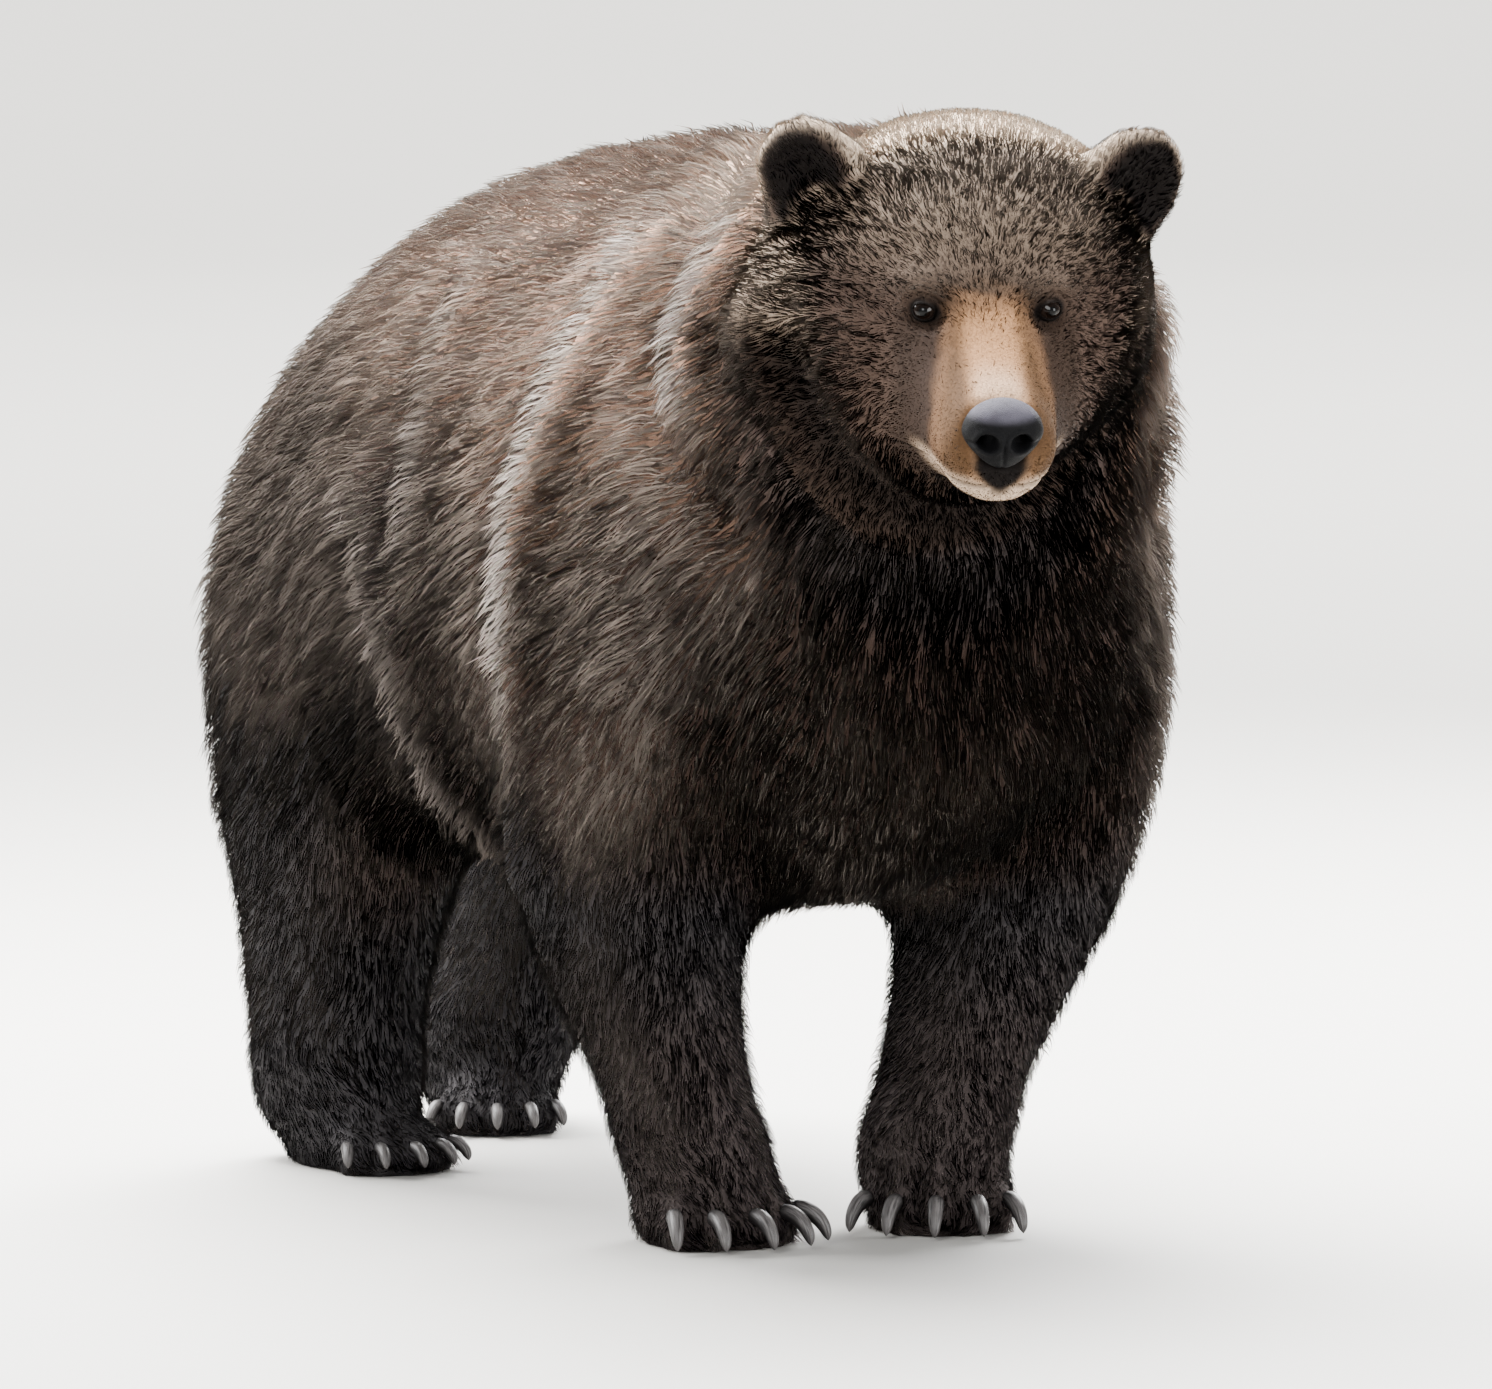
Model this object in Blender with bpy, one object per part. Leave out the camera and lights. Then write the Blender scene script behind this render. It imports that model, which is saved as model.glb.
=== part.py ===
"""A standing grizzly bear at life size, parted into the pieces a person would name.

The bear faces -Y with +Z up, its left side is +X, and the floor under its paws is Z = 0.
Every surface here is the outside of the coat: the furred outline, out to the tips of the hair.
The flesh is built as overlapping lofts and ellipsoids, fused and smoothed into one body, and then
parted by thin cuts. Eyes, nose pad, ears, tail and claws are pieces of their own.
"""

import math

import bmesh
import bpy
import numpy as np
from mathutils import Matrix, Vector

# ---------------------------------------------------------------- driving dimensions, in metres
GAP = 0.0004  # clearance between neighbouring pieces
TORSO_VOXEL = 0.018  # grain of the coarse fuse, which blends the limbs into the trunk
TORSO_SMOOTHING = 10
BODY_VOXEL = 0.008  # grain of the fine fuse, which keeps the face and the toes
BODY_SMOOTHING = 3
BODY_TRIANGLES = 2900  # of the body before it is parted
RING_SIDES = 32

LEFT, RIGHT = 1, -1
SIDE_NAME = {LEFT: "left", RIGHT: "right"}

# trunk sections from the chest to the rump: y, half width, belly, widest level, back
TRUNK = (
    (-0.42, 0.10, 0.74, 0.86, 0.98),
    (-0.37, 0.24, 0.58, 0.84, 1.10),
    (-0.26, 0.335, 0.485, 0.82, 1.19),
    (-0.08, 0.395, 0.408, 0.80, 1.268),
    (0.12, 0.425, 0.375, 0.80, 1.312),
    (0.36, 0.435, 0.370, 0.81, 1.312),
    (0.60, 0.418, 0.39, 0.81, 1.27),
    (0.79, 0.374, 0.44, 0.79, 1.20),
    (0.92, 0.327, 0.48, 0.78, 1.12),
    (1.03, 0.255, 0.56, 0.78, 1.01),
    (1.11, 0.12, 0.68, 0.78, 0.88),
)

# neck sections from between the shoulders to the nape: x, y, z, half width, above, below
NECK = (
    (0.0, -0.02, 0.96, 0.36, 0.39, 0.40),
    (0.0, -0.18, 1.02, 0.335, 0.35, 0.41),
    (-0.025, -0.32, 1.08, 0.285, 0.275, 0.35),
    (-0.05, -0.42, 1.10, 0.232, 0.245, 0.27),
    (-0.04, -0.50, 1.11, 0.17, 0.15, 0.17),
)

# limb sections from the top down: z, distance from the midline, y, half width, half depth
FORELEG = (
    (1.02, 0.22, 0.00, 0.10, 0.14),
    (0.88, 0.258, -0.035, 0.152, 0.215),
    (0.72, 0.258, -0.050, 0.156, 0.240),
    (0.58, 0.256, -0.035, 0.155, 0.225),
    (0.46, 0.25, 0.015, 0.150, 0.185),
    (0.35, 0.232, 0.033, 0.137, 0.150),
    (0.25, 0.206, 0.028, 0.115, 0.127),
    (0.15, 0.174, 0.018, 0.103, 0.112),
    (0.08, 0.156, 0.010, 0.100, 0.107),
    (0.03, 0.152, 0.008, 0.086, 0.095),
)
HINDLEG = (
    (1.00, 0.17, 0.80, 0.12, 0.20),
    (0.86, 0.207, 0.765, 0.165, 0.29),
    (0.70, 0.230, 0.765, 0.176, 0.315),
    (0.56, 0.232, 0.79, 0.168, 0.28),
    (0.45, 0.224, 0.835, 0.152, 0.235),
    (0.35, 0.206, 0.87, 0.138, 0.19),
    (0.24, 0.195, 0.92, 0.122, 0.158),
    (0.15, 0.185, 0.94, 0.112, 0.142),
    (0.08, 0.18, 0.95, 0.106, 0.138),
    (0.03, 0.175, 0.95, 0.090, 0.12),
)
HIND_STEP = {RIGHT: -0.01, LEFT: 0.30}  # how far back each hind ankle stands from the section table
ELBOW_OUT = {RIGHT: 0.0, LEFT: 0.036}  # the left elbow is carried wider
ELBOW_HEIGHT, ELBOW_SPREAD = 0.40, 0.18

# masses that round out the lofts: centre, radii (mirrored left and right)
SHOULDER = ((0.210, -0.045, 0.82), (0.20, 0.28, 0.36))
HAUNCH = ((0.140, 0.780, 0.80), (0.225, 0.28, 0.31))
HUMP = ((0.0, 0.22, 1.088), (0.21, 0.28, 0.245))
RUFF = ((0.0, -0.33, 1.112), (0.322, 0.130, 0.142))
BRISKET = ((0.0, -0.10, 0.668), (0.21, 0.22, 0.265))

# head, modelled level and facing -Y about a point between the ears, then pitched and turned
HEAD_AT = Vector((-0.042, -0.45, 1.145))
HEAD_PITCH = math.radians(17.5)
HEAD_TURN = math.radians(-22.5)
# sections from the nape to the nose: distance ahead, half width, underside, widest level, top, squareness
HEAD = (
    (-0.25, 0.10, -0.12, 0.00, 0.10, 2.0),
    (-0.20, 0.195, -0.19, -0.01, 0.163, 2.0),
    (-0.12, 0.222, -0.205, -0.02, 0.198, 2.15),
    (-0.03, 0.224, -0.195, -0.03, 0.191, 2.15),
    (0.05, 0.205, -0.188, -0.04, 0.165, 2.1),
    (0.11, 0.160, -0.175, -0.05, 0.120, 2.1),
    (0.16, 0.120, -0.162, -0.06, 0.074, 2.15),
    (0.21, 0.094, -0.148, -0.065, 0.037, 2.2),
    (0.27, 0.078, -0.134, -0.060, 0.016, 2.3),
    (0.32, 0.070, -0.122, -0.055, 0.008, 2.3),
    (0.343, 0.052, -0.104, -0.05, -0.008, 2.3),
    (0.354, 0.026, -0.080, -0.05, -0.03, 2.2),
)
FACE_SMOOTHING = 7
BROW = ((0.064, -0.103, 0.064), (0.058, 0.056, 0.036))
CHEEK = ((0.112, 0.00, -0.065), (0.080, 0.12, 0.100))
LIP_PAD = ((0.040, -0.292, -0.058), (0.042, 0.060, 0.040))
EYE_RADIUS = 0.0145
EYE_AT = (0.072, -0.146, 0.049)
SOCKET_AT, SOCKET_RADII = (0.075, -0.163, 0.057), (0.021, 0.017, 0.0155)
NOSE_AT, NOSE_RADII = (0.0, -0.344, -0.027), (0.046, 0.034, 0.040)
NOSTRIL_AT, NOSTRIL_RADII = (0.0200, -0.380, -0.033), (0.0125, 0.020, 0.0100)
# the lower jaw lies under a plane from the chin back to the corner of the mouth, ahead of the cheek
LIP_FRONT, LIP_CORNER, JAW_HEEL = (0.45, -0.088), (0.165, -0.108), (0.13, -0.40)

EAR_AT = (0.184, 0.055, 0.124)
EAR_RADII = (0.067, 0.036, 0.083)
EAR_BOWL_AT, EAR_BOWL_RADII = (0.004, -0.046, 0.012), (0.046, 0.046, 0.056)
EAR_LEAN, EAR_SPLAY = math.radians(22), math.radians(16)  # tipped outwards, and opened sideways

TAIL_AT, TAIL_RADII, TAIL_TILT = (0.0, 1.10, 0.86), (0.048, 0.036, 0.090), math.radians(14)

# paws: width, length, height of the foot, half a toe's width, and the claw's length
FORE_PAW = {"width": 0.208, "length": 0.210, "height": 0.105, "toe": 0.0265, "claw": 0.078}
HIND_PAW = {"width": 0.180, "length": 0.285, "height": 0.100, "toe": 0.0235, "claw": 0.046}
TOES = 5
TOE_FAN = math.radians(60)  # half the angle over which the toes spread
PAW_SINK = 0.005  # how far the paws are modelled under the floor, before the soles are cut flat
CLAW_SIDES, CLAW_RINGS = 6, 5
CLAW_WIDTH, CLAW_DEPTH = 0.0098, 0.0118  # half of each, at the root
CLAW_RISE, CLAW_CURL = math.radians(6), math.radians(84)
CLAW_CLEARANCE = 0.0015  # the tips stop just over the floor
# where each paw stands: x, y, and how far its toes turn in
PAWS = {
    ("fore", RIGHT): (-0.155, -0.018, math.radians(3)),
    ("fore", LEFT): (0.152, -0.020, math.radians(31)),
    ("hind", RIGHT): (-0.176, 0.880, math.radians(2)),
    ("hind", LEFT): (0.166, 1.185, math.radians(26)),
}

# where the body is parted: a point and the way each cut faces
HEAD_CUT = ((-0.042, -0.432, 0.93), (-0.200, -0.925, 0.335))
NECK_CUT = ((0.0, -0.42, 0.86), (0.0, -0.837, 0.547))
# upper edge of each leg in front view, inner then outer: (distance from the midline, z)
FORE_EDGE, HIND_EDGE = ((0.05, 0.375), (0.55, 0.84)), ((0.03, 0.46), (0.55, 0.90))
# the edge between each leg and the belly in side view, lower then upper: (y, z)
FORE_BACK, HIND_FRONT = ((0.20, 0.36), (0.30, 0.80)), ((0.66, 0.36), (0.62, 0.90))
ELBOW, WRIST = 0.46, 0.145
KNEE, ANKLE = 0.46, 0.155
FAR = 1.0  # reach of the cutters beyond the body


# ---------------------------------------------------------------- small tools
def clear_scene():
    for obj in list(bpy.data.objects):
        bpy.data.objects.remove(obj, do_unlink=True)


def material(name, colour, roughness):
    made = bpy.data.materials.new(name)
    made.use_nodes = True
    shader = made.node_tree.nodes["Principled BSDF"]
    shader.inputs["Base Color"].default_value = (*colour, 1.0)
    shader.inputs["Roughness"].default_value = roughness
    shader.inputs["Metallic"].default_value = 0.0
    return made


def add_object(name, mesh, look=None):
    obj = bpy.data.objects.new(name, mesh)
    bpy.context.scene.collection.objects.link(obj)
    if look:
        mesh.materials.clear()
        mesh.materials.append(look)
    return obj


def smooth_rows(rows, steps):
    """Rows of numbers made denser by a curve through them, steps to each interval."""
    rows = np.array(rows, float)
    ends = np.vstack([2 * rows[0] - rows[1], rows, 2 * rows[-1] - rows[-2]])
    made = []
    for i in range(1, len(ends) - 2):
        before, start, end, after = ends[i - 1 : i + 3]
        for t in np.arange(steps) / steps:
            made.append(
                0.5
                * (
                    2 * start
                    + (end - before) * t
                    + (2 * before - 5 * start + 4 * end - after) * t**2
                    + (3 * start - before - 3 * end + after) * t**3
                )
            )
    return np.array([*made, rows[-1]])


def ring(centre, across, up, half_width, above, below, squareness=2.0, sides=RING_SIDES):
    """One closed section: a superellipse whose upper and lower halves have their own heights."""
    points = []
    for i in range(sides):
        turn = 2 * math.pi * i / sides
        side = math.copysign(abs(math.cos(turn)) ** (2 / squareness), math.cos(turn))
        rise = math.copysign(abs(math.sin(turn)) ** (2 / squareness), math.sin(turn))
        height = above if rise > 0 else below
        points.append(centre + across * side * half_width + up * rise * height)
    return points


def loft(name, rings):
    """A closed skin over rings of equal count, with a fan at each end."""
    shape = bmesh.new()
    loops = [[shape.verts.new(p) for p in points] for points in rings]
    for first, second in zip(loops, loops[1:]):
        for i in range(len(first)):
            j = (i + 1) % len(first)
            shape.faces.new((first[i], first[j], second[j], second[i]))
    for loop in (loops[0], loops[-1]):
        middle = shape.verts.new(sum((v.co for v in loop), Vector()) / len(loop))
        for i in range(len(loop)):
            shape.faces.new((loop[i], loop[(i + 1) % len(loop)], middle))
    bmesh.ops.recalc_face_normals(shape, faces=shape.faces)
    mesh = bpy.data.meshes.new(name)
    shape.to_mesh(mesh)
    shape.free()
    return mesh


def ellipsoid(name, centre, radii, turn=None, segments=32):
    """A closed egg shape with its three half axes, turned about its centre if a turn is given."""
    shape = bmesh.new()
    bmesh.ops.create_uvsphere(shape, u_segments=segments, v_segments=segments * 5 // 8, radius=1.0)
    place = Matrix.Translation(Vector(centre)) @ (turn or Matrix()) @ Matrix.Diagonal((*radii, 1.0))
    bmesh.ops.transform(shape, matrix=place, verts=shape.verts)
    mesh = bpy.data.meshes.new(name)
    shape.to_mesh(mesh)
    shape.free()
    return mesh


def joined(name, meshes):
    """Several meshes as one, still overlapping."""
    shape = bmesh.new()
    for mesh in meshes:
        shape.from_mesh(mesh)
    made = bpy.data.meshes.new(name)
    shape.to_mesh(made)
    shape.free()
    return made


def fused(name, meshes, voxel, smoothing):
    """Overlapping closed meshes as one skin, with the creases between them rounded."""
    obj = add_object(name, joined(name, meshes))
    grain = obj.modifiers.new("Grain", "REMESH")
    grain.mode = "VOXEL"
    grain.voxel_size = voxel
    soften = obj.modifiers.new("Soften", "SMOOTH")
    soften.factor = 0.5
    soften.iterations = smoothing
    return taken(obj)


def taken(obj):
    """The object's mesh with its modifiers applied. The object itself is removed."""
    graph = bpy.context.evaluated_depsgraph_get()
    mesh = bpy.data.meshes.new_from_object(obj.evaluated_get(graph))
    name = obj.name
    bpy.data.objects.remove(obj, do_unlink=True)
    mesh.name = name
    return mesh


# ---------------------------------------------------------------- masses of the body
def trunk_mass():
    """The barrel of the body, in upright sections from the chest to the rump."""
    across, up = Vector((1, 0, 0)), Vector((0, 0, 1))
    rings = [
        ring(Vector((0, y, middle)), across, up, half, back - middle, middle - belly)
        for y, half, belly, middle, back in smooth_rows(TRUNK, 3)
    ]
    return loft("trunk_mass", rings)


def neck_mass():
    """The neck, in sections square to its own line."""
    rows = smooth_rows(NECK, 3)
    rings = []
    for i, row in enumerate(rows):
        ahead = Vector(rows[min(i + 1, len(rows) - 1)][:3]) - Vector(rows[max(i - 1, 0)][:3])
        across = ahead.cross(Vector((0, 0, 1))).normalized()
        up = across.cross(ahead).normalized()
        rings.append(ring(Vector(row[:3]), across, up, *row[3:6]))
    return loft("neck_mass", rings)


def leg_mass(name, table, side, step=0.0, elbow_out=0.0):
    """A leg in level sections. Its foot end stands back by step, and its top stays in the body."""
    top = table[0][0]
    across, back = Vector((1, 0, 0)), Vector((0, 1, 0))
    rings = []
    for z, x, y, half, depth in smooth_rows(table, 3):
        drift = step * max(0.0, 1 - z / top) ** 0.8
        out = elbow_out * math.exp(-(((z - ELBOW_HEIGHT) / ELBOW_SPREAD) ** 2))
        rings.append(ring(Vector((side * (x + out), y + drift, z)), across, back, half, depth, depth))
    return loft(name, rings)


def pair(name, centre, radii):
    """A left and a right ellipsoid."""
    return [
        ellipsoid(name, Vector((side * centre[0], centre[1], centre[2])), radii) for side in (LEFT, RIGHT)
    ]


def head_matrix():
    """The head's place: pitched down, turned to the bear's right, and set on the neck."""
    turned = Matrix.Rotation(HEAD_TURN, 4, "Z") @ Matrix.Rotation(HEAD_PITCH, 4, "X")
    return Matrix.Translation(HEAD_AT) @ turned


def in_head(mesh):
    """Moves a mesh modelled in the head's own frame to its place on the body."""
    mesh.transform(head_matrix())
    return mesh


def head_mass():
    """The skull's sections with the brows, cheeks and lip pads, fused."""
    across, up = Vector((1, 0, 0)), Vector((0, 0, 1))
    rings = [
        ring(Vector((0, -ahead, middle)), across, up, half, top - middle, middle - under, square)
        for ahead, half, under, middle, top, square in smooth_rows(HEAD, 3)
    ]
    rounds = [*pair("brow", *BROW), *pair("cheek", *CHEEK), *pair("lip", *LIP_PAD)]
    return in_head(fused("head_mass", [loft("skull", rings), *rounds], BODY_VOXEL, FACE_SMOOTHING))


# ---------------------------------------------------------------- paws and claws
def paw_matrix(which):
    """A paw's place on the floor, with its toes turned in."""
    x, y, turn_in = PAWS[which]
    return Matrix.Translation((x, y, 0)) @ Matrix.Rotation(which[1] * -turn_in, 4, "Z")


def toe_places(size):
    """Each toe's centre and heading in its paw: on an arc, with the middle toe furthest ahead."""
    places = []
    for i in range(TOES):
        turn = TOE_FAN * (2 * i / (TOES - 1) - 1)
        reach = size["length"] / 2 - size["toe"]
        across = math.sin(turn) * (size["width"] / 2 - size["toe"]) / math.sin(TOE_FAN)
        ahead = reach - (1 - math.cos(turn)) * size["width"] * 0.42
        places.append((Vector((across, -ahead, size["toe"] * 1.20)), turn * 0.42))
    return places


def paw_masses(kind, side):
    """A foot's rounded masses: the sole, the knuckles and five toes."""
    size = FORE_PAW if kind == "fore" else HIND_PAW
    half, reach = size["width"] / 2, size["length"] / 2
    height, toe = size["height"], size["toe"]
    masses = [
        ellipsoid("sole", (0, 0.012, height * 0.36), (half * 0.96, reach * 0.98, height * 0.62)),
        ellipsoid("knuckles", (0, -reach / 2, height * 0.4), (half * 0.88, reach * 0.42, height * 0.48)),
    ]
    for place, heading in toe_places(size):
        radii = (toe * 0.98, toe * 1.75, toe * 1.42)
        masses.append(ellipsoid("toe", place, radii, Matrix.Rotation(heading, 4, "Z")))
    for mesh in masses:
        mesh.transform(paw_matrix((kind, side)))
    return masses


def claw(kind, side, toe_index):
    """A horn that leaves the toe's tip, arches over and comes down to the floor."""
    size = FORE_PAW if kind == "fore" else HIND_PAW
    place, heading = toe_places(size)[toe_index]
    turned = Matrix.Rotation(heading, 4, "Z")
    root = place + turned.to_3x3() @ Vector((0, -size["toe"] * 0.95, size["toe"] * 0.46))
    sweep = size["claw"] / CLAW_CURL
    rings = []
    for i in range(CLAW_RINGS):
        along = i / (CLAW_RINGS - 1)
        turn = CLAW_CURL * along - CLAW_RISE
        lead = sweep * (math.sin(turn) + math.sin(CLAW_RISE))
        drop = sweep * (math.cos(CLAW_RISE) - math.cos(turn))
        taper = (1 - along**2.2) * 0.70 + 0.30
        half, tall = CLAW_WIDTH * taper, CLAW_DEPTH * taper
        up = Vector((0, -math.sin(turn), math.cos(turn)))
        centre = Vector((0, -lead, -drop))
        rings.append(ring(centre, Vector((1, 0, 0)), up, half, tall, tall, sides=CLAW_SIDES))
    mesh = loft("claw", rings)
    lowest = min(v.co.z for v in mesh.vertices)
    squeeze = min(1.0, (root.z - PAW_SINK - CLAW_CLEARANCE) / -lowest)
    mesh.transform(
        Matrix.Translation((0, 0, -PAW_SINK))
        @ paw_matrix((kind, side))
        @ Matrix.Translation(root)
        @ turned
        @ Matrix.Diagonal((1, 1, squeeze, 1))
    )
    return mesh


# ---------------------------------------------------------------- cutting the body into its parts
def boolean(mesh, cutter, operation):
    """A mesh after one exact Boolean with another."""
    obj = add_object("kept", mesh)
    other = add_object("cutter", cutter)
    cut = obj.modifiers.new("Cut", "BOOLEAN")
    cut.operation = operation
    cut.solver = "EXACT"
    cut.object = other
    result = taken(obj)
    bpy.data.objects.remove(other, do_unlink=True)
    return result


def grown(mesh, distance):
    """A copy of a mesh, fatter all over by the given distance."""
    obj = add_object("grown", mesh.copy())
    swell = obj.modifiers.new("Swell", "DISPLACE")
    swell.strength = distance
    swell.mid_level = 0.0
    return taken(obj)


def without(mesh, other):
    """A mesh with room cut in it for another, a gap all round."""
    return largest(boolean(mesh, grown(other, GAP), "DIFFERENCE"))


def split(mesh, cutter):
    """The parts of a mesh inside and outside a cutter, half a gap short of it on each side."""
    inside = boolean(mesh.copy(), grown(cutter, -GAP / 2), "INTERSECT")
    outside = boolean(mesh, grown(cutter, GAP / 2), "DIFFERENCE")
    return largest(inside), largest(outside)


def largest(mesh):
    """Only the biggest of a mesh's separate bodies, by its number of corners."""
    shape = bmesh.new()
    shape.from_mesh(mesh)
    unseen = set(shape.verts)
    bodies = []
    while unseen:
        edge = [unseen.pop()]
        found = list(edge)
        while edge:
            near = {e.other_vert(v) for v in edge for e in v.link_edges} & unseen
            unseen -= near
            found.extend(near)
            edge = list(near)
        bodies.append(found)
    bodies.sort(key=len)
    bmesh.ops.delete(shape, geom=[v for found in bodies[:-1] for v in found], context="VERTS")
    shape.to_mesh(mesh)
    shape.free()
    return mesh


def hull(points):
    """The convex cutter around the points."""
    shape = bmesh.new()
    bmesh.ops.convex_hull(shape, input=[shape.verts.new(p) for p in points])
    bmesh.ops.recalc_face_normals(shape, faces=shape.faces)
    mesh = bpy.data.meshes.new("hull")
    shape.to_mesh(mesh)
    shape.free()
    return mesh


def sliced(mesh, point, normal):
    """The part of a closed mesh behind a plane, stopped half a gap short of it and capped."""
    shape = bmesh.new()
    shape.from_mesh(mesh)
    made = bmesh.ops.bisect_plane(
        shape,
        geom=[*shape.verts, *shape.edges, *shape.faces],
        dist=1e-6,
        plane_co=point - normal * GAP / 2,
        plane_no=normal,
        clear_outer=True,
    )
    rim = [e for e in made["geom_cut"] if isinstance(e, bmesh.types.BMEdge)]
    bmesh.ops.triangle_fill(shape, use_beauty=True, edges=rim)
    bmesh.ops.recalc_face_normals(shape, faces=shape.faces)
    part = bpy.data.meshes.new("slice")
    shape.to_mesh(part)
    shape.free()
    return largest(part)


def parted(mesh, point, normal):
    """Both sides of a plane cut, the one behind it and the one ahead of it."""
    point, normal = Vector(point), Vector(normal).normalized()
    return sliced(mesh, point, normal), sliced(mesh, point, -normal)


def extruded(outline, low, high):
    """A convex cutter whose outline, in (y, z), runs from x = low to x = high."""
    return hull([Vector((x, y, z)) for x in (low, high) for y, z in outline])


def leg_cutter(side, edge, front, back):
    """The space of one leg: below its upper edge, outward of the midline, between two slanted ends."""
    (inner_x, inner_z), (outer_x, outer_z) = edge
    points = []
    for x, z in ((inner_x, inner_z), (outer_x, outer_z)):
        for line in (front, back):
            points.append(Vector((side * x, along_line(line, z), z)))
    for x in (inner_x, outer_x):
        for line in (front, back):
            points.append(Vector((side * x, line[0][0], -0.1)))
    return hull(points)


def along_line(line, z):
    """Where a line given by two (y, z) points stands at a height."""
    (y0, z0), (y1, z1) = line
    return y0 + (y1 - y0) * (z - z0) / (z1 - z0)


# ---------------------------------------------------------------- the whole bear
def body():
    """All the flesh as one faceted skin: the torso is fused coarsely, then the head and paws join it."""
    forelegs = [leg_mass("foreleg", FORELEG, side, elbow_out=ELBOW_OUT[side]) for side in (LEFT, RIGHT)]
    hindlegs = [leg_mass("hindleg", HINDLEG, side, step=HIND_STEP[side]) for side in (LEFT, RIGHT)]
    rounds = [*pair("shoulder", *SHOULDER), *pair("haunch", *HAUNCH)]
    rounds += [ellipsoid("hump", *HUMP), ellipsoid("ruff", *RUFF), ellipsoid("brisket", *BRISKET)]
    torso_masses = [trunk_mass(), neck_mass(), *rounds, *forelegs, *hindlegs]
    torso = fused("torso", torso_masses, TORSO_VOXEL, TORSO_SMOOTHING)
    paws = [mesh for kind, side in PAWS for mesh in paw_masses(kind, side)]
    for mesh in paws:
        mesh.transform(Matrix.Translation((0, 0, -PAW_SINK)))
    whole = fused("whole", [torso, head_mass(), *paws], BODY_VOXEL, BODY_SMOOTHING)
    return faceted(whole)


def faceted(mesh):
    """The body in few triangles, largest where it is flattest."""
    obj = add_object("body", mesh)
    thin = obj.modifiers.new("Thin", "DECIMATE")
    thin.ratio = BODY_TRIANGLES / (2 * len(mesh.polygons))
    thin.use_collapse_triangulate = True
    return taken(obj)


def eye_sphere(side):
    """An eyeball in its place in the head."""
    x, y, z = EYE_AT
    return in_head(ellipsoid("eye", (side * x, y, z), (EYE_RADIUS,) * 3, segments=12))


def socket(side):
    """The hollow ahead of an eyeball, under the brow."""
    x, y, z = SOCKET_AT
    return in_head(ellipsoid("socket", (side * x, y, z), SOCKET_RADII, segments=16))


def nose_pad():
    """The bare nose, with two nostrils hollowed in its front."""
    mesh = ellipsoid("nose", NOSE_AT, NOSE_RADII, segments=16)
    for side in (LEFT, RIGHT):
        x, y, z = NOSTRIL_AT
        nostril = ellipsoid("nostril", (side * x, y, z), NOSTRIL_RADII, segments=12)
        mesh = boolean(mesh, nostril, "DIFFERENCE")
    return in_head(mesh)


def nose_room():
    """The whole space of the nose, nostrils and all, for its seat in the head."""
    return in_head(ellipsoid("nose_room", NOSE_AT, NOSE_RADII, segments=16))


def ear_cup(side):
    """A round ear, hollowed at the front."""
    x, y, z = EAR_AT
    stand = (
        Matrix.Translation((side * x, y, z))
        @ Matrix.Rotation(side * EAR_LEAN, 4, "Y")
        @ Matrix.Rotation(side * EAR_SPLAY, 4, "Z")
    )
    disc = ellipsoid("ear", (0, 0, 0), EAR_RADII, segments=16)
    bx, by, bz = EAR_BOWL_AT
    bowl = ellipsoid("bowl", (side * bx, by, bz), EAR_BOWL_RADII, segments=14)
    cup = boolean(disc, bowl, "DIFFERENCE")
    cup.transform(stand)
    return in_head(cup)


def jaw_cutter():
    """The space under the lip line and ahead of the jaw's heel, in the head's own frame."""
    outline = [LIP_FRONT, LIP_CORNER, JAW_HEEL, (LIP_FRONT[0], JAW_HEEL[1])]
    return in_head(extruded([(-ahead, z) for ahead, z in outline], -0.3, 0.3))


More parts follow.
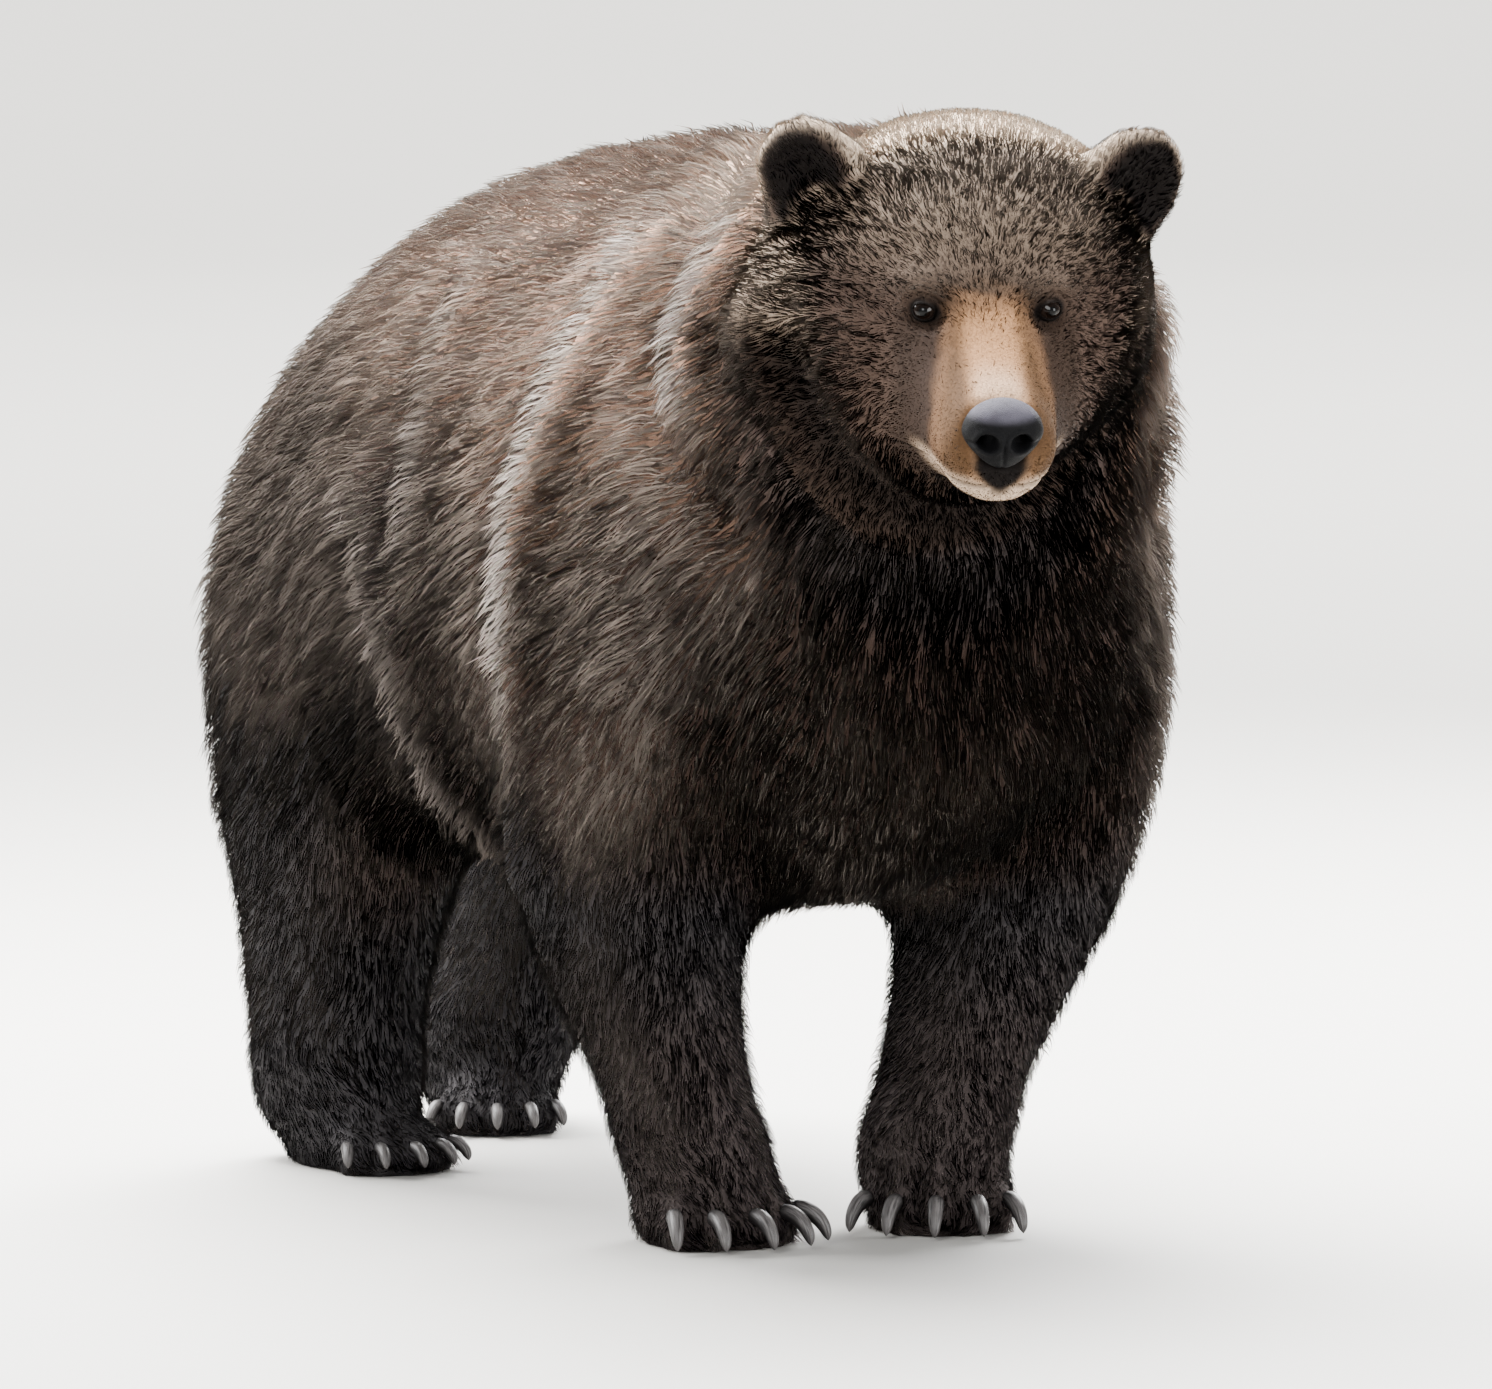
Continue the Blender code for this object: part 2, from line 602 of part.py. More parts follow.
def main():
    """Builds every piece, named and in its material."""
    clear_scene()
    fur = {
        "back": material("fur_back", (0.155, 0.095, 0.062), 0.92),
        "legs": material("fur_legs", (0.052, 0.036, 0.027), 0.94),
        "face": material("fur_face", (0.175, 0.112, 0.072), 0.90),
        "muzzle": material("fur_muzzle", (0.33, 0.22, 0.14), 0.88),
    }
    horn = material("claw_horn", (0.30, 0.27, 0.23), 0.42)
    leather = material("nose_leather", (0.018, 0.017, 0.017), 0.38)
    glass = material("eye", (0.022, 0.013, 0.008), 0.08)

    whole = sliced(body(), Vector((0, 0, -GAP / 2)), Vector((0, 0, -1)))
    behind, head = parted(whole, *HEAD_CUT)
    trunk, neck = parted(behind, *NECK_CUT)

    tail_turn = Matrix.Rotation(TAIL_TILT, 4, "X")
    tail = ellipsoid("tail", TAIL_AT, TAIL_RADII, tail_turn, segments=12)
    add_object("tail", without(tail, trunk), fur["back"])

    paws = {}
    for side in (LEFT, RIGHT):
        label = SIDE_NAME[side]
        fore_space = leg_cutter(side, FORE_EDGE, ((-FAR, 0), (-FAR, 1)), FORE_BACK)
        hind_space = leg_cutter(side, HIND_EDGE, HIND_FRONT, ((2 * FAR, 0), (2 * FAR, 1)))
        foreleg, trunk = split(trunk, fore_space)
        hindleg, trunk = split(trunk, hind_space)
        lower, upper = parted(foreleg, (0, 0, ELBOW), (0, 0, 1))
        paws["fore", side], lower = parted(lower, (0, 0, WRIST), (0, 0, 1))
        add_object(f"foreleg_upper_{label}", upper, fur["legs"])
        add_object(f"foreleg_lower_{label}", lower, fur["legs"])
        lower, upper = parted(hindleg, (0, 0, KNEE), (0, 0, 1))
        paws["hind", side], lower = parted(lower, (0, 0, ANKLE), (0, 0, 1))
        add_object(f"thigh_{label}", upper, fur["legs"])
        add_object(f"hindleg_lower_{label}", lower, fur["legs"])
    add_object("trunk", trunk, fur["back"])
    add_object("neck", neck, fur["back"])

    for (kind, side), paw in paws.items():
        label = SIDE_NAME[side]
        for i in range(TOES):
            add_object(f"claw_{kind}_{label}_{i + 1}", without(claw(kind, side, i), paw), horn)
        add_object(f"{kind}paw_{label}", paw, fur["legs"])

    nose = nose_pad()
    for side in (LEFT, RIGHT):
        label = SIDE_NAME[side]
        add_object(f"ear_{label}", without(ear_cup(side), head), fur["face"])
        head = boolean(head, socket(side), "DIFFERENCE")
        eye = eye_sphere(side)
        head = without(head, eye)
        add_object(f"eye_{label}", eye, glass)
    head = without(head, nose_room())
    jaw, head = split(head, jaw_cutter())
    add_object("jaw", jaw, fur["muzzle"])
    add_object("head", head, fur["face"])
    add_object("nose", nose, leather)
    centre_over_origin()


def centre_over_origin():
    """Moves the whole bear so that the origin is on the floor, under the middle of its bounding box."""
    meshes = [obj.data for obj in bpy.context.scene.objects]
    middle = []
    for axis in (0, 1):
        values = [vertex.co[axis] for mesh in meshes for vertex in mesh.vertices]
        middle.append((min(values) + max(values)) / 2)
    for mesh in meshes:
        mesh.transform(Matrix.Translation((-middle[0], -middle[1], 0)))


main()
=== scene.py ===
"""Grizzly bear, life size: one skin, its coat in tufts, eyes, nose and claws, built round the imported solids."""

import math

import bmesh
import bpy
import numpy as np
from mathutils import Matrix, Vector
from mathutils.bvhtree import BVHTree
from mathutils.kdtree import KDTree


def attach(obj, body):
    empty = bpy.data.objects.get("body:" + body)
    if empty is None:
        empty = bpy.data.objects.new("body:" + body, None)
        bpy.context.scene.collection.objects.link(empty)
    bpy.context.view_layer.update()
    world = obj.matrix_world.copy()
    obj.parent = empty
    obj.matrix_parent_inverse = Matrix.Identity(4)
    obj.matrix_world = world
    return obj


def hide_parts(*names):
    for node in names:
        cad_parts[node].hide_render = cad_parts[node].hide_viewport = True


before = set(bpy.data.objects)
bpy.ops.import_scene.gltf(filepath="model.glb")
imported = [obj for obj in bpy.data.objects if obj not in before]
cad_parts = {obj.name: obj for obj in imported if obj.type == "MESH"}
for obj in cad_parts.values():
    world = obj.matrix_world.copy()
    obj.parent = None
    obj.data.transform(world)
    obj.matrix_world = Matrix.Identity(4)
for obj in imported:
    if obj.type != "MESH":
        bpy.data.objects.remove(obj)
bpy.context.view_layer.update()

bl_info = {
    "name": "Grizzly bear",
    "version": (1, 0, 0),
    "blender": (4, 5, 0),
    "location": "3D View > Sidebar > Bear",
    "description": "Builds a life-size bear's skin, coat, eyes, nose and claws round its packed solids",
    "category": "Object",
}

# ---------------------------------------------------------------- the parts of the body, in metres
SIDES = {"left": 1, "right": -1}
PAIRED = ("ear", "foreleg_upper", "foreleg_lower", "forepaw", "thigh", "hindleg_lower", "hindpaw")
FLESH = ["trunk", "neck", "head", "jaw", "tail", *(f"{part}_{side}" for part in PAIRED for side in SIDES)]

# the head's own frame: it faces -Y, with its middle between the ears
HEAD_AT = (-0.04223, -0.74203, 1.145)
HEAD_TURN = math.radians(-22.5)  # to the bear's right
HEAD_BOW = math.radians(17.5)
HEAD = Matrix.Translation(HEAD_AT) @ Matrix.Rotation(HEAD_TURN, 4, "Z") @ Matrix.Rotation(HEAD_BOW, 4, "X")
HEAD_HALF_WIDTH = 0.27  # the ruff included
EYE_AT = (0.072, -0.146, 0.049)
EYE_RADIUS = 0.0145
GAZE = (0.22, -0.95, 0.12)
EYE_OPENING = (0.0128, 0.0092)  # half its width and height
EYE_SLANT = math.radians(10)  # the inner corner is the lower one
LID_THICKNESS = 0.0016
STOP_AT = (0.0, -0.165, 0.020)  # where the forehead meets the muzzle, under the skin
NOSE_AT = (0.0, -0.344, -0.027)
NOSE_RADII = (0.0475, 0.034, 0.0415)
EAR_AT = (0.184, 0.055, 0.124)
EAR_REACH = (0.067, 0.083)
EAR_LEAN = math.radians(22)
EAR_SPLAY = math.radians(16)
EAR_RISE = {"left": -0.004, "right": 0.010}  # the far ear is held a little lower
EAR_BOWL_AT = (0.004, -0.046, 0.012)
EAR_BOWL_RADII = (0.048, 0.055, 0.064)
LIP_FRONT = (0.45, -0.088)  # ahead, height
LIP_CORNER = (0.165, -0.108)

# where each paw stands: x, y, how far its toes turn in
PAWS = {
    ("fore", "right"): (-0.155, -0.310, math.radians(3)),
    ("fore", "left"): (0.152, -0.312, math.radians(31)),
    ("hind", "right"): (-0.176, 0.588, math.radians(2)),
    ("hind", "left"): (0.166, 0.893, math.radians(26)),
}
PAW_SIZE = {
    "fore": {"width": 0.208, "length": 0.210, "toe": 0.0265, "claw": 0.078},
    "hind": {"width": 0.180, "length": 0.285, "toe": 0.0235, "claw": 0.046},
}
TOES = 5
TOE_FAN = math.radians(60)
TOE_ARC = 0.42  # how far the outer toes stand back, as a share of the paw's width
TOE_TURN = 0.42  # how far a toe turns with the fan
TOE_CREASE = 0.0065  # half the width of the crease between two toes
TOE_TOP = 0.09

# the claws: how far each bends down and rises at its root, and how its length follows from the paw's sizes
CLAW_RINGS, CLAW_SIDES = 14, 16
CLAW_CURL, CLAW_RISE = math.radians(88), math.radians(8)
CLAW_SHARE, CLAW_TOE_SHARE = 0.72, 0.35
CLAW_CLEARANCE = 0.0015  # between its tip and the floor
HIND_CLAW_WIDTH = 0.80  # as a share of a front claw's
PAW_SINK = 0.005  # how far the toes are let down towards the floor

# the edge of the face's short fur on the right side, in the head's own frame, from the ear to the throat
FACE_EDGE = (
    (-0.214, -0.005, 0.075),
    (-0.212, -0.045, 0.040),
    (-0.202, -0.075, 0.005),
    (-0.186, -0.098, -0.040),
    (-0.165, -0.113, -0.080),
    (-0.138, -0.122, -0.118),
    (-0.104, -0.130, -0.150),
    (-0.060, -0.135, -0.185),
    (0.0, -0.135, -0.205),
)

# folds of the hide on the right side, from the top down; the fold's lip lies towards the head
SHOULDER_FOLD = (
    (-0.300, -0.300, 1.160),
    (-0.330, -0.290, 1.109),
    (-0.348, -0.286, 1.074),
    (-0.371, -0.272, 1.021),
    (-0.402, -0.246, 0.919),
    (-0.414, -0.244, 0.820),
    (-0.412, -0.232, 0.740),
    (-0.396, -0.222, 0.640),
    (-0.388, -0.216, 0.540),
)
NECK_FOLD = (
    (-0.160, -0.430, 1.300),
    (-0.218, -0.484, 1.252),
    (-0.257, -0.482, 1.206),
    (-0.297, -0.476, 1.130),
    (-0.315, -0.480, 1.072),
    (-0.327, -0.515, 1.027),
    (-0.318, -0.561, 0.983),
)
FLANK_FOLD = (
    (-0.342, 0.030, 1.119),
    (-0.370, 0.030, 1.060),
    (-0.401, 0.003, 0.990),
    (-0.412, 0.000, 0.900),
)
BELLY_FOLD = (
    (-0.430, 0.105, 0.820),
    (-0.426, 0.064, 0.741),
    (-0.408, 0.063, 0.664),
    (-0.371, 0.082, 0.585),
    (-0.311, 0.087, 0.505),
)
# each fold: its line, how far its lip stands out, how strong the painted highlight along its lip is, how wide that
# highlight runs, and its lowest height
FOLDS = (
    (SHOULDER_FOLD, 0.026, 1.0, 0.020, 0.62),
    (NECK_FOLD, 0.026, 1.0, 0.020, 1.02),
    (FLANK_FOLD, 0.010, 0.4, 0.022, 0.80),
    (BELLY_FOLD, 0.026, 0.22, 0.060, 0.45),
)
FOLD_LIP = (0.030, 0.040)  # its place ahead of the fold's line, and its width
FOLD_FURROW = (-0.030, 0.032)
# painted highlight: the tips that lie on a fold's line are made pale as if they caught the light
HIGHLIGHT_AHEAD = 0.034  # how far ahead of a fold's line the hairs whose tips lie on it are rooted

# the coat on each part, in mm: depth over the skin, guard hair's length, a tuft's width,
# the space between the tufts of guard hair, and the space between the tufts of underfur
COAT = {
    "trunk": (22, 56, 2.2, 9.4, 8.0),
    "neck": (22, 50, 2.1, 8.8, 7.2),
    "head": (5.5, 24, 1.15, 4.8, 3.5),
    "jaw": (6, 14, 1.3, 6.4, 3.5),
    "tail": (22, 56, 2.2, 9.4, 8.0),
    "ear": (4, 13, 1.0, 5.0, 3.1),
    "foreleg_upper": (18, 42, 1.75, 10.0, 6.5),
    "foreleg_lower": (12, 30, 1.35, 12.0, 4.7),
    "forepaw": (7, 24, 1.25, 9.5, 4.0),
    "thigh": (20, 46, 1.85, 10.0, 6.9),
    "hindleg_lower": (12, 32, 1.4, 12.0, 5.0),
    "hindpaw": (7, 24, 1.25, 9.5, 4.1),
}
# the same five sizes at places where the coat is shorter or fuller, laid over those above in this order
COAT_PLACES = {
    "face": (2.8, 16, 1.05, 5.6, 2.9),
    "eye": (1.8, 9, 0.95, 7.0, 2.4),
    "poll": (8, 13, 1.0, 4.4, 3.0),
    "muzzle": (1.0, 6, 0.9, 14.0, 2.3),
    "ruff": (9, 25, 1.3, 4.2, 3.6),
    "ear_bowl": (2, 15, 1.2, 6.5, 3.6),
}
# the way the coat lies on each part
COMB = {
    "trunk": (0, 0.74, -0.66),
    "neck": (0, 0.55, -0.83),
    "head": (0, 1, 0),
    "jaw": (0, 1, -0.2),
    "tail": (0, 0.3, -0.95),
    "ear": (0, 0, 1),
    "foreleg_upper": (0, 0.42, -0.90),
    "foreleg_lower": (0, 0.16, -0.98),
    "forepaw": (0, -0.75, -0.65),
    "thigh": (0, 0.40, -0.90),
    "hindleg_lower": (0, 0.25, -0.96),
    "hindpaw": (0, -0.75, -0.65),
}

# the coat's pieces: the parts that each covers, and the record's finish
COAT_PIECES = {
    "body": (("trunk", "tail"), "fur_back"),
    "neck": (("neck",), "fur_back"),
    "head": (("head", "jaw", "ear"), "fur_face"),
    "forelegs": (("foreleg_upper", "foreleg_lower", "forepaw"), "fur_legs"),
    "hindlegs": (("thigh", "hindleg_lower", "hindpaw"), "fur_legs"),
}
PIECE_TRIANGLES = 190000  # a piece with more is parted

# a tuft is a thin three-sided horn of rings and a tip: the rings' places along it
GUARD_RINGS = (0.0, 0.5)
UNDER_RINGS = (0.0,)
UNDER_SHARE = 0.86  # the underfur's length and depth, as a share of the guard hair's
ROOT_SHARE = 0.42  # a guard tuft's half-width at its root, as a share of its width; elsewhere it is a half
TUFT_SECTION = ((-1, -0.30), (1, -0.30), (0, 0.55))  # the corners of a ring: across, and up from the body
SOFTNESS = (0.55, 0.85)  # how far the shading follows the body rather than each tuft, in long and in short hair
LEAN = 0.45  # how far the tufts of a lock lean to its middle one
SHORT_HAIR = (0.034, 0.018)  # the lengths between which a tuft turns from long hair to short
PATCH = 0.003  # a tuft's patch in the OFBake map
STREW = (0.7548776662, 0.5698402910)  # steps that strew points evenly over a triangle

SKIN_GRAIN = 0.012
SHELL_OVERLAP = 0.0006
SOLE_HEIGHT = 0.0008  # the soles just clear the floor
WIDEST = 0.465  # how far from the middle a tuft may reach on either side
SEED = 7

VIEW_TARGET = Vector((-0.079, -0.250, 0.65))
VIEW_AZIMUTH, VIEW_ELEVATION = math.radians(-28), math.radians(5)
VIEW_DISTANCE = 18.0
LENS, SENSOR = 362.6, 36  # mm
FLOOR_DEPTH, FLOOR_HALF_WIDTH, BACKDROP_HEIGHT, BACKDROP_BEND = 30.0, 40.0, 16.0, 10.0
BEND_STEPS = 24
LIT_PLACE = Vector((0, 0, 0.8))
# the lamps: place, power in watts, size
LAMPS = {
    "light_top": ((0.2, 2.0, 4.4), 4000, 4.5),
    "light_key": ((-4.0, -4.8, 3.0), 550, 3.0),
    "light_rim_right": ((-4.0, 3.5, 3.6), 900, 2.5),
    "light_rim_left": ((4.2, 3.2, 3.4), 1100, 2.5),
    "light_fill": ((3.4, -6.3, 1.3), 900, 3.5),
}
BACKDROP_LAMP = ((0, 12.0, 13.0), (0, 24.0, 0.0), 24000, 16.0)  # place, what it lights, power, size
SKY, SKY_STRENGTH = (0.90, 0.93, 0.97, 1), 0.65


def srgb(code):
    """A six-digit sRGB colour as the linear values that Blender works in."""
    values = [int(code[i : i + 2], 16) / 255 for i in (0, 2, 4)]
    return tuple(v / 12.92 if v <= 0.04045 else ((v + 0.055) / 1.055) ** 2.4 for v in values)


def colour_setting(name, code, description):
    return bpy.props.FloatVectorProperty(
        name=name, description=description, subtype="COLOR", size=3, min=0, max=1, default=srgb(code)
    )


class BearSizes(bpy.types.PropertyGroup):
    """Sizes of the coat and of the small parts of the head and feet."""

    length_scale: bpy.props.FloatProperty(
        name="Coat length", description="Tuft length as a share of the natural one", default=1.0, min=0.3, max=1.5
    )
    width_scale: bpy.props.FloatProperty(
        name="Tuft width", description="Tuft width as a share of the natural one", default=1.0, min=0.4, max=2.0
    )
    lock_tufts: bpy.props.IntProperty(
        name="Tufts in a lock", description="How many tufts lean together", default=4, min=2, max=40
    )
    claw_width: bpy.props.FloatProperty(
        name="Claw width", description="Width of a front claw at its root", default=0.021, unit="LENGTH"
    )


class BearColours(bpy.types.PropertyGroup):
    """Colours of the bear and of its stage."""

    fur_deep: colour_setting("Deep brown", "43332B", "Flanks, chest and rump")
    # partly the back's own warm brown, partly painted light from above
    fur_warm: colour_setting("Warm brown", "BE957C", "Back and shoulders")
    fur_leg: colour_setting("Leg brown", "2A2829", "Legs and the shaded side of the neck")
    # partly the crown's own pale colour, partly painted light from behind
    fur_crown: colour_setting("Crown", "DEC6AC", "Nape and top of the head")
    fur_muzzle: colour_setting("Muzzle", "8A6545", "Short fur of the muzzle")
    # the sides' browner tone is partly painted shade under the light from above
    fur_side: colour_setting("Muzzle side", "43301F", "Sides of the muzzle, under its bridge")
    # the chin colour also carries a painted highlight down the middle of the muzzle's front
    fur_chin: colour_setting("Chin", "A8917B", "Chin and the edge of the lips")
    fur_face: colour_setting("Face brown", "40332C", "Short fur of the forehead and cheeks")
    fur_shade: colour_setting("Face shade", "2A201A", "Darker hair of the forehead and beside the muzzle")
    # also painted shade in the throat's fold behind the face's edge and in the toes' creases
    fur_dark: colour_setting("Dark points", "0B0807", "Inside of the ears and round the eyes")
    fur_tip: colour_setting("Face tips", "5E4D42", "Tips of the hair on the forehead and cheeks")
    # paler grey tips of the hair on the legs
    fur_leg_tips: colour_setting("Dusty tips", "94898A", "Tips of the hair on the lower legs")
    # pale tips: some the coat's own silver, some painted light on the top of the back, and the painted highlights
    # along the folds
    fur_frost_and_highlight: colour_setting("Silver tips", "F4EAE2", "Pale tips of the guard hairs")
    nose: colour_setting("Nose leather", "070708", "Bare skin of the nose")
    claw: colour_setting("Claw horn", "524F4E", "Upper face of the claws")
    claw_dark: colour_setting("Claw root", "121010", "Root and sides of the claws")
    iris: colour_setting("Iris", "0B0604", "Iris of the eyes")
    floor: colour_setting("Floor", "9C9A96", "Floor and backdrop of the stage")


# ---------------------------------------------------------------- small tools
def smoothstep(low, high, value):
    share = np.clip((value - low) / (high - low), 0, 1)
    return share * share * (3 - 2 * share)


def bell(value, width):
    return np.exp(-((value / width) ** 2))


def unit(vectors):
    return vectors / np.maximum(np.linalg.norm(vectors, axis=-1, keepdims=True), 1e-9)


def ripple(points, wavelength, seed, waves=6):
    """A value that wanders smoothly over the body, mostly between -1 and 1."""
    draw = np.random.default_rng(seed)
    total = np.zeros(len(points))
    for _ in range(waves):
        way = unit(draw.normal(size=3)) * draw.uniform(0.7, 1.4) * 2 * math.pi / wavelength
        total += np.sin(points @ way + draw.uniform(0, 2 * math.pi))
    return total / math.sqrt(waves)


def read(collection, key, size=3, kind=np.float32):
    flat = np.empty(len(collection) * size, kind)
    collection.foreach_get(key, flat)
    return flat.reshape(-1, size).astype(float if kind is np.float32 else kind)


def normals_of(mesh):
    mesh.update()
    return read(mesh.vertex_normals, "vector")


def put_points(mesh, points):
    mesh.vertices.foreach_set("co", points.astype(np.float32).ravel())
    mesh.update()


def spread(values, edges, rounds, share=0.5):
    """Values averaged over the neighbouring vertices, so that they change smoothly over the surface."""
    a, b = edges.T
    count = len(values)
    links = np.maximum(np.bincount(edges.ravel(), minlength=count), 1)
    values = values.copy()
    share = np.broadcast_to(share, count)
    for _ in range(rounds):
        for column in values.T:
            near = np.bincount(a, column[b], count) + np.bincount(b, column[a], count)
            column += share * (near / links - column)
    return values


def deselect():
    if bpy.context.object and bpy.context.object.mode != "OBJECT":
        bpy.ops.object.mode_set(mode="OBJECT")
    bpy.ops.object.select_all(action="DESELECT")


def choose(obj):
    deselect()
    obj.select_set(True)
    bpy.context.view_layer.objects.active = obj


def finish_modifier(obj, kind, **settings):
    modifier = obj.modifiers.new(kind.title(), kind)
    for key, value in settings.items():
        setattr(modifier, key, value)
    choose(obj)
    bpy.ops.object.modifier_apply(modifier=modifier.name)


def new_object(name, mesh):
    obj = bpy.data.objects.new(name, mesh)
    bpy.context.scene.collection.objects.link(obj)
    return obj


def keep_values(mesh, name, values):
    """Stores one value, or a colour's worth of three, at each vertex."""
    if values.ndim == 1:
        mesh.attributes.new(name, "FLOAT", "POINT").data.foreach_set("value", values.astype(np.float32))
        return
    layer = mesh.attributes.new(name, "FLOAT_VECTOR", "POINT")
    layer.data.foreach_set("vector", values.astype(np.float32).ravel())


def kept_values(mesh, name):
    layer = mesh.attributes[name]
    if layer.data_type == "FLOAT":
        return read(layer.data, "value", 1)[:, 0]
    return read(layer.data, "vector")


def in_head(points):
    """Points or places in the head's own frame."""
    inverse = np.array(HEAD.inverted())
    return points @ inverse[:3, :3].T + inverse[:3, 3]


def out_of_head(points):
    matrix = np.array(HEAD)
    return points @ matrix[:3, :3].T + matrix[:3, 3]


def ear_frame(side):
    x, y, z = EAR_AT
    return (
        Matrix.Translation((side * x, y, z))
        @ Matrix.Rotation(side * EAR_LEAN, 4, "Y")
        @ Matrix.Rotation(side * EAR_SPLAY, 4, "Z")
    )


def eye_axes(side):
    """The eye's centre and its outward, upward and forward axes, in the head's frame."""
    centre = np.array([side * EYE_AT[0], EYE_AT[1], EYE_AT[2]])
    forward = unit(np.array([side * GAZE[0], GAZE[1], GAZE[2]]))
    outward = unit(np.cross(forward, (0, 0, 1))) * -side
    if outward[0] * side < 0:
        outward = -outward
    upward = unit(np.cross(outward, forward) * side)
    if upward[2] < 0:
        upward = -upward
    slanted = outward * math.cos(EYE_SLANT) + upward * math.sin(EYE_SLANT)
    return centre, slanted, unit(upward - slanted * (upward @ slanted)), forward


def opening_of_eye(head, side):
    """How far each point stands ahead of an eye's centre, and its distance in openings of the lids."""
    centre, outward, upward, forward = eye_axes(side)
    away = head - centre
    return away @ forward, np.hypot(away @ outward / EYE_OPENING[0], away @ upward / EYE_OPENING[1])


# ---------------------------------------------------------------- where things are on the body
def parts_of_body(points):
    """The index in FLESH of the solid nearest to each point."""
    corners, faces, owner = [], [], []
    for index, name in enumerate(FLESH):
        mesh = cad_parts[name].data
        start = len(corners)
        corners += [v.co.copy() for v in mesh.vertices]
        faces += [[start + i for i in p.vertices] for p in mesh.polygons]
        owner += [index] * len(mesh.polygons)
    tree = BVHTree.FromPolygons(corners, faces)
    return np.array([owner[tree.find_nearest(Vector(p))[2]] for p in points])


def kind_of_part(name):
    for side in SIDES:
        name = name.removesuffix(f"_{side}")
    return name


def table_at(table, part):
    return np.array([table[kind_of_part(name)] for name in FLESH], float)[part]


def to_fold(points, normals, fold):
    """Distance to a fold on either side of the body, and how far ahead of it (+) or behind it (-)."""
    near = np.full(len(points), 9.0)
    ahead = np.zeros(len(points))
    mirrored = points * np.where(points[:, :1] > 0, [[-1, 1, 1]], [[1, 1, 1]])
    turned = normals * np.where(points[:, :1] > 0, [[-1, 1, 1]], [[1, 1, 1]])
    for start, end in zip(np.array(fold[:-1]), np.array(fold[1:])):
        span = end - start
        share = np.clip((mirrored - start) @ span / (span @ span), 0, 1)
        away = mirrored - start - share[:, None] * span
        gap = np.linalg.norm(away, axis=1)
        across = unit(np.cross(turned, span))
        closer = gap < near
        near[closer] = gap[closer]
        ahead[closer] = (away * across).sum(1)[closer]
    return near, ahead


def toe_places(kind):
    """Each toe's centre and heading in its paw."""
    size = PAW_SIZE[kind]
    for i in range(TOES):
        turn = TOE_FAN * (2 * i / (TOES - 1) - 1)
        across = math.sin(turn) * (size["width"] / 2 - size["toe"]) / math.sin(TOE_FAN)
        ahead = size["length"] / 2 - size["toe"] - (1 - math.cos(turn)) * size["width"] * TOE_ARC
        yield Vector((across, -ahead, size["toe"] * 1.20)), turn * TOE_TURN


def toe_gaps(points):
    """1 in the creases between the toes, 0 elsewhere."""
    gaps = np.zeros(len(points))
    for (kind, side), (x, y, turn_in) in PAWS.items():
        turn = -SIDES[side] * turn_in
        local = (points - (x, y, 0)) @ np.array(Matrix.Rotation(turn, 3, "Z"))
        places = list(toe_places(kind))
        for (one, heading), (other, next_heading) in zip(places, places[1:]):
            middle = np.array((one + other) / 2)
            way = (heading + next_heading) / 2
            ahead = np.array([math.sin(way), -math.cos(way)])
            away = local[:, :2] - middle[:2]
            beside = away @ np.array([ahead[1], -ahead[0]])
            along = away @ ahead
            front = smoothstep(-0.030, -0.005, along) * smoothstep(0.07, 0.05, along)
            gaps = np.maximum(gaps, bell(beside, TOE_CREASE) * front * (points[:, 2] < TOE_TOP))
    return gaps


def over_lips(head):
    """How high each point stands over the line where the lips meet."""
    along = (-head[:, 1] - LIP_CORNER[0]) / (LIP_FRONT[0] - LIP_CORNER[0])
    return head[:, 2] - (LIP_CORNER[1] + along * (LIP_FRONT[1] - LIP_CORNER[1]))


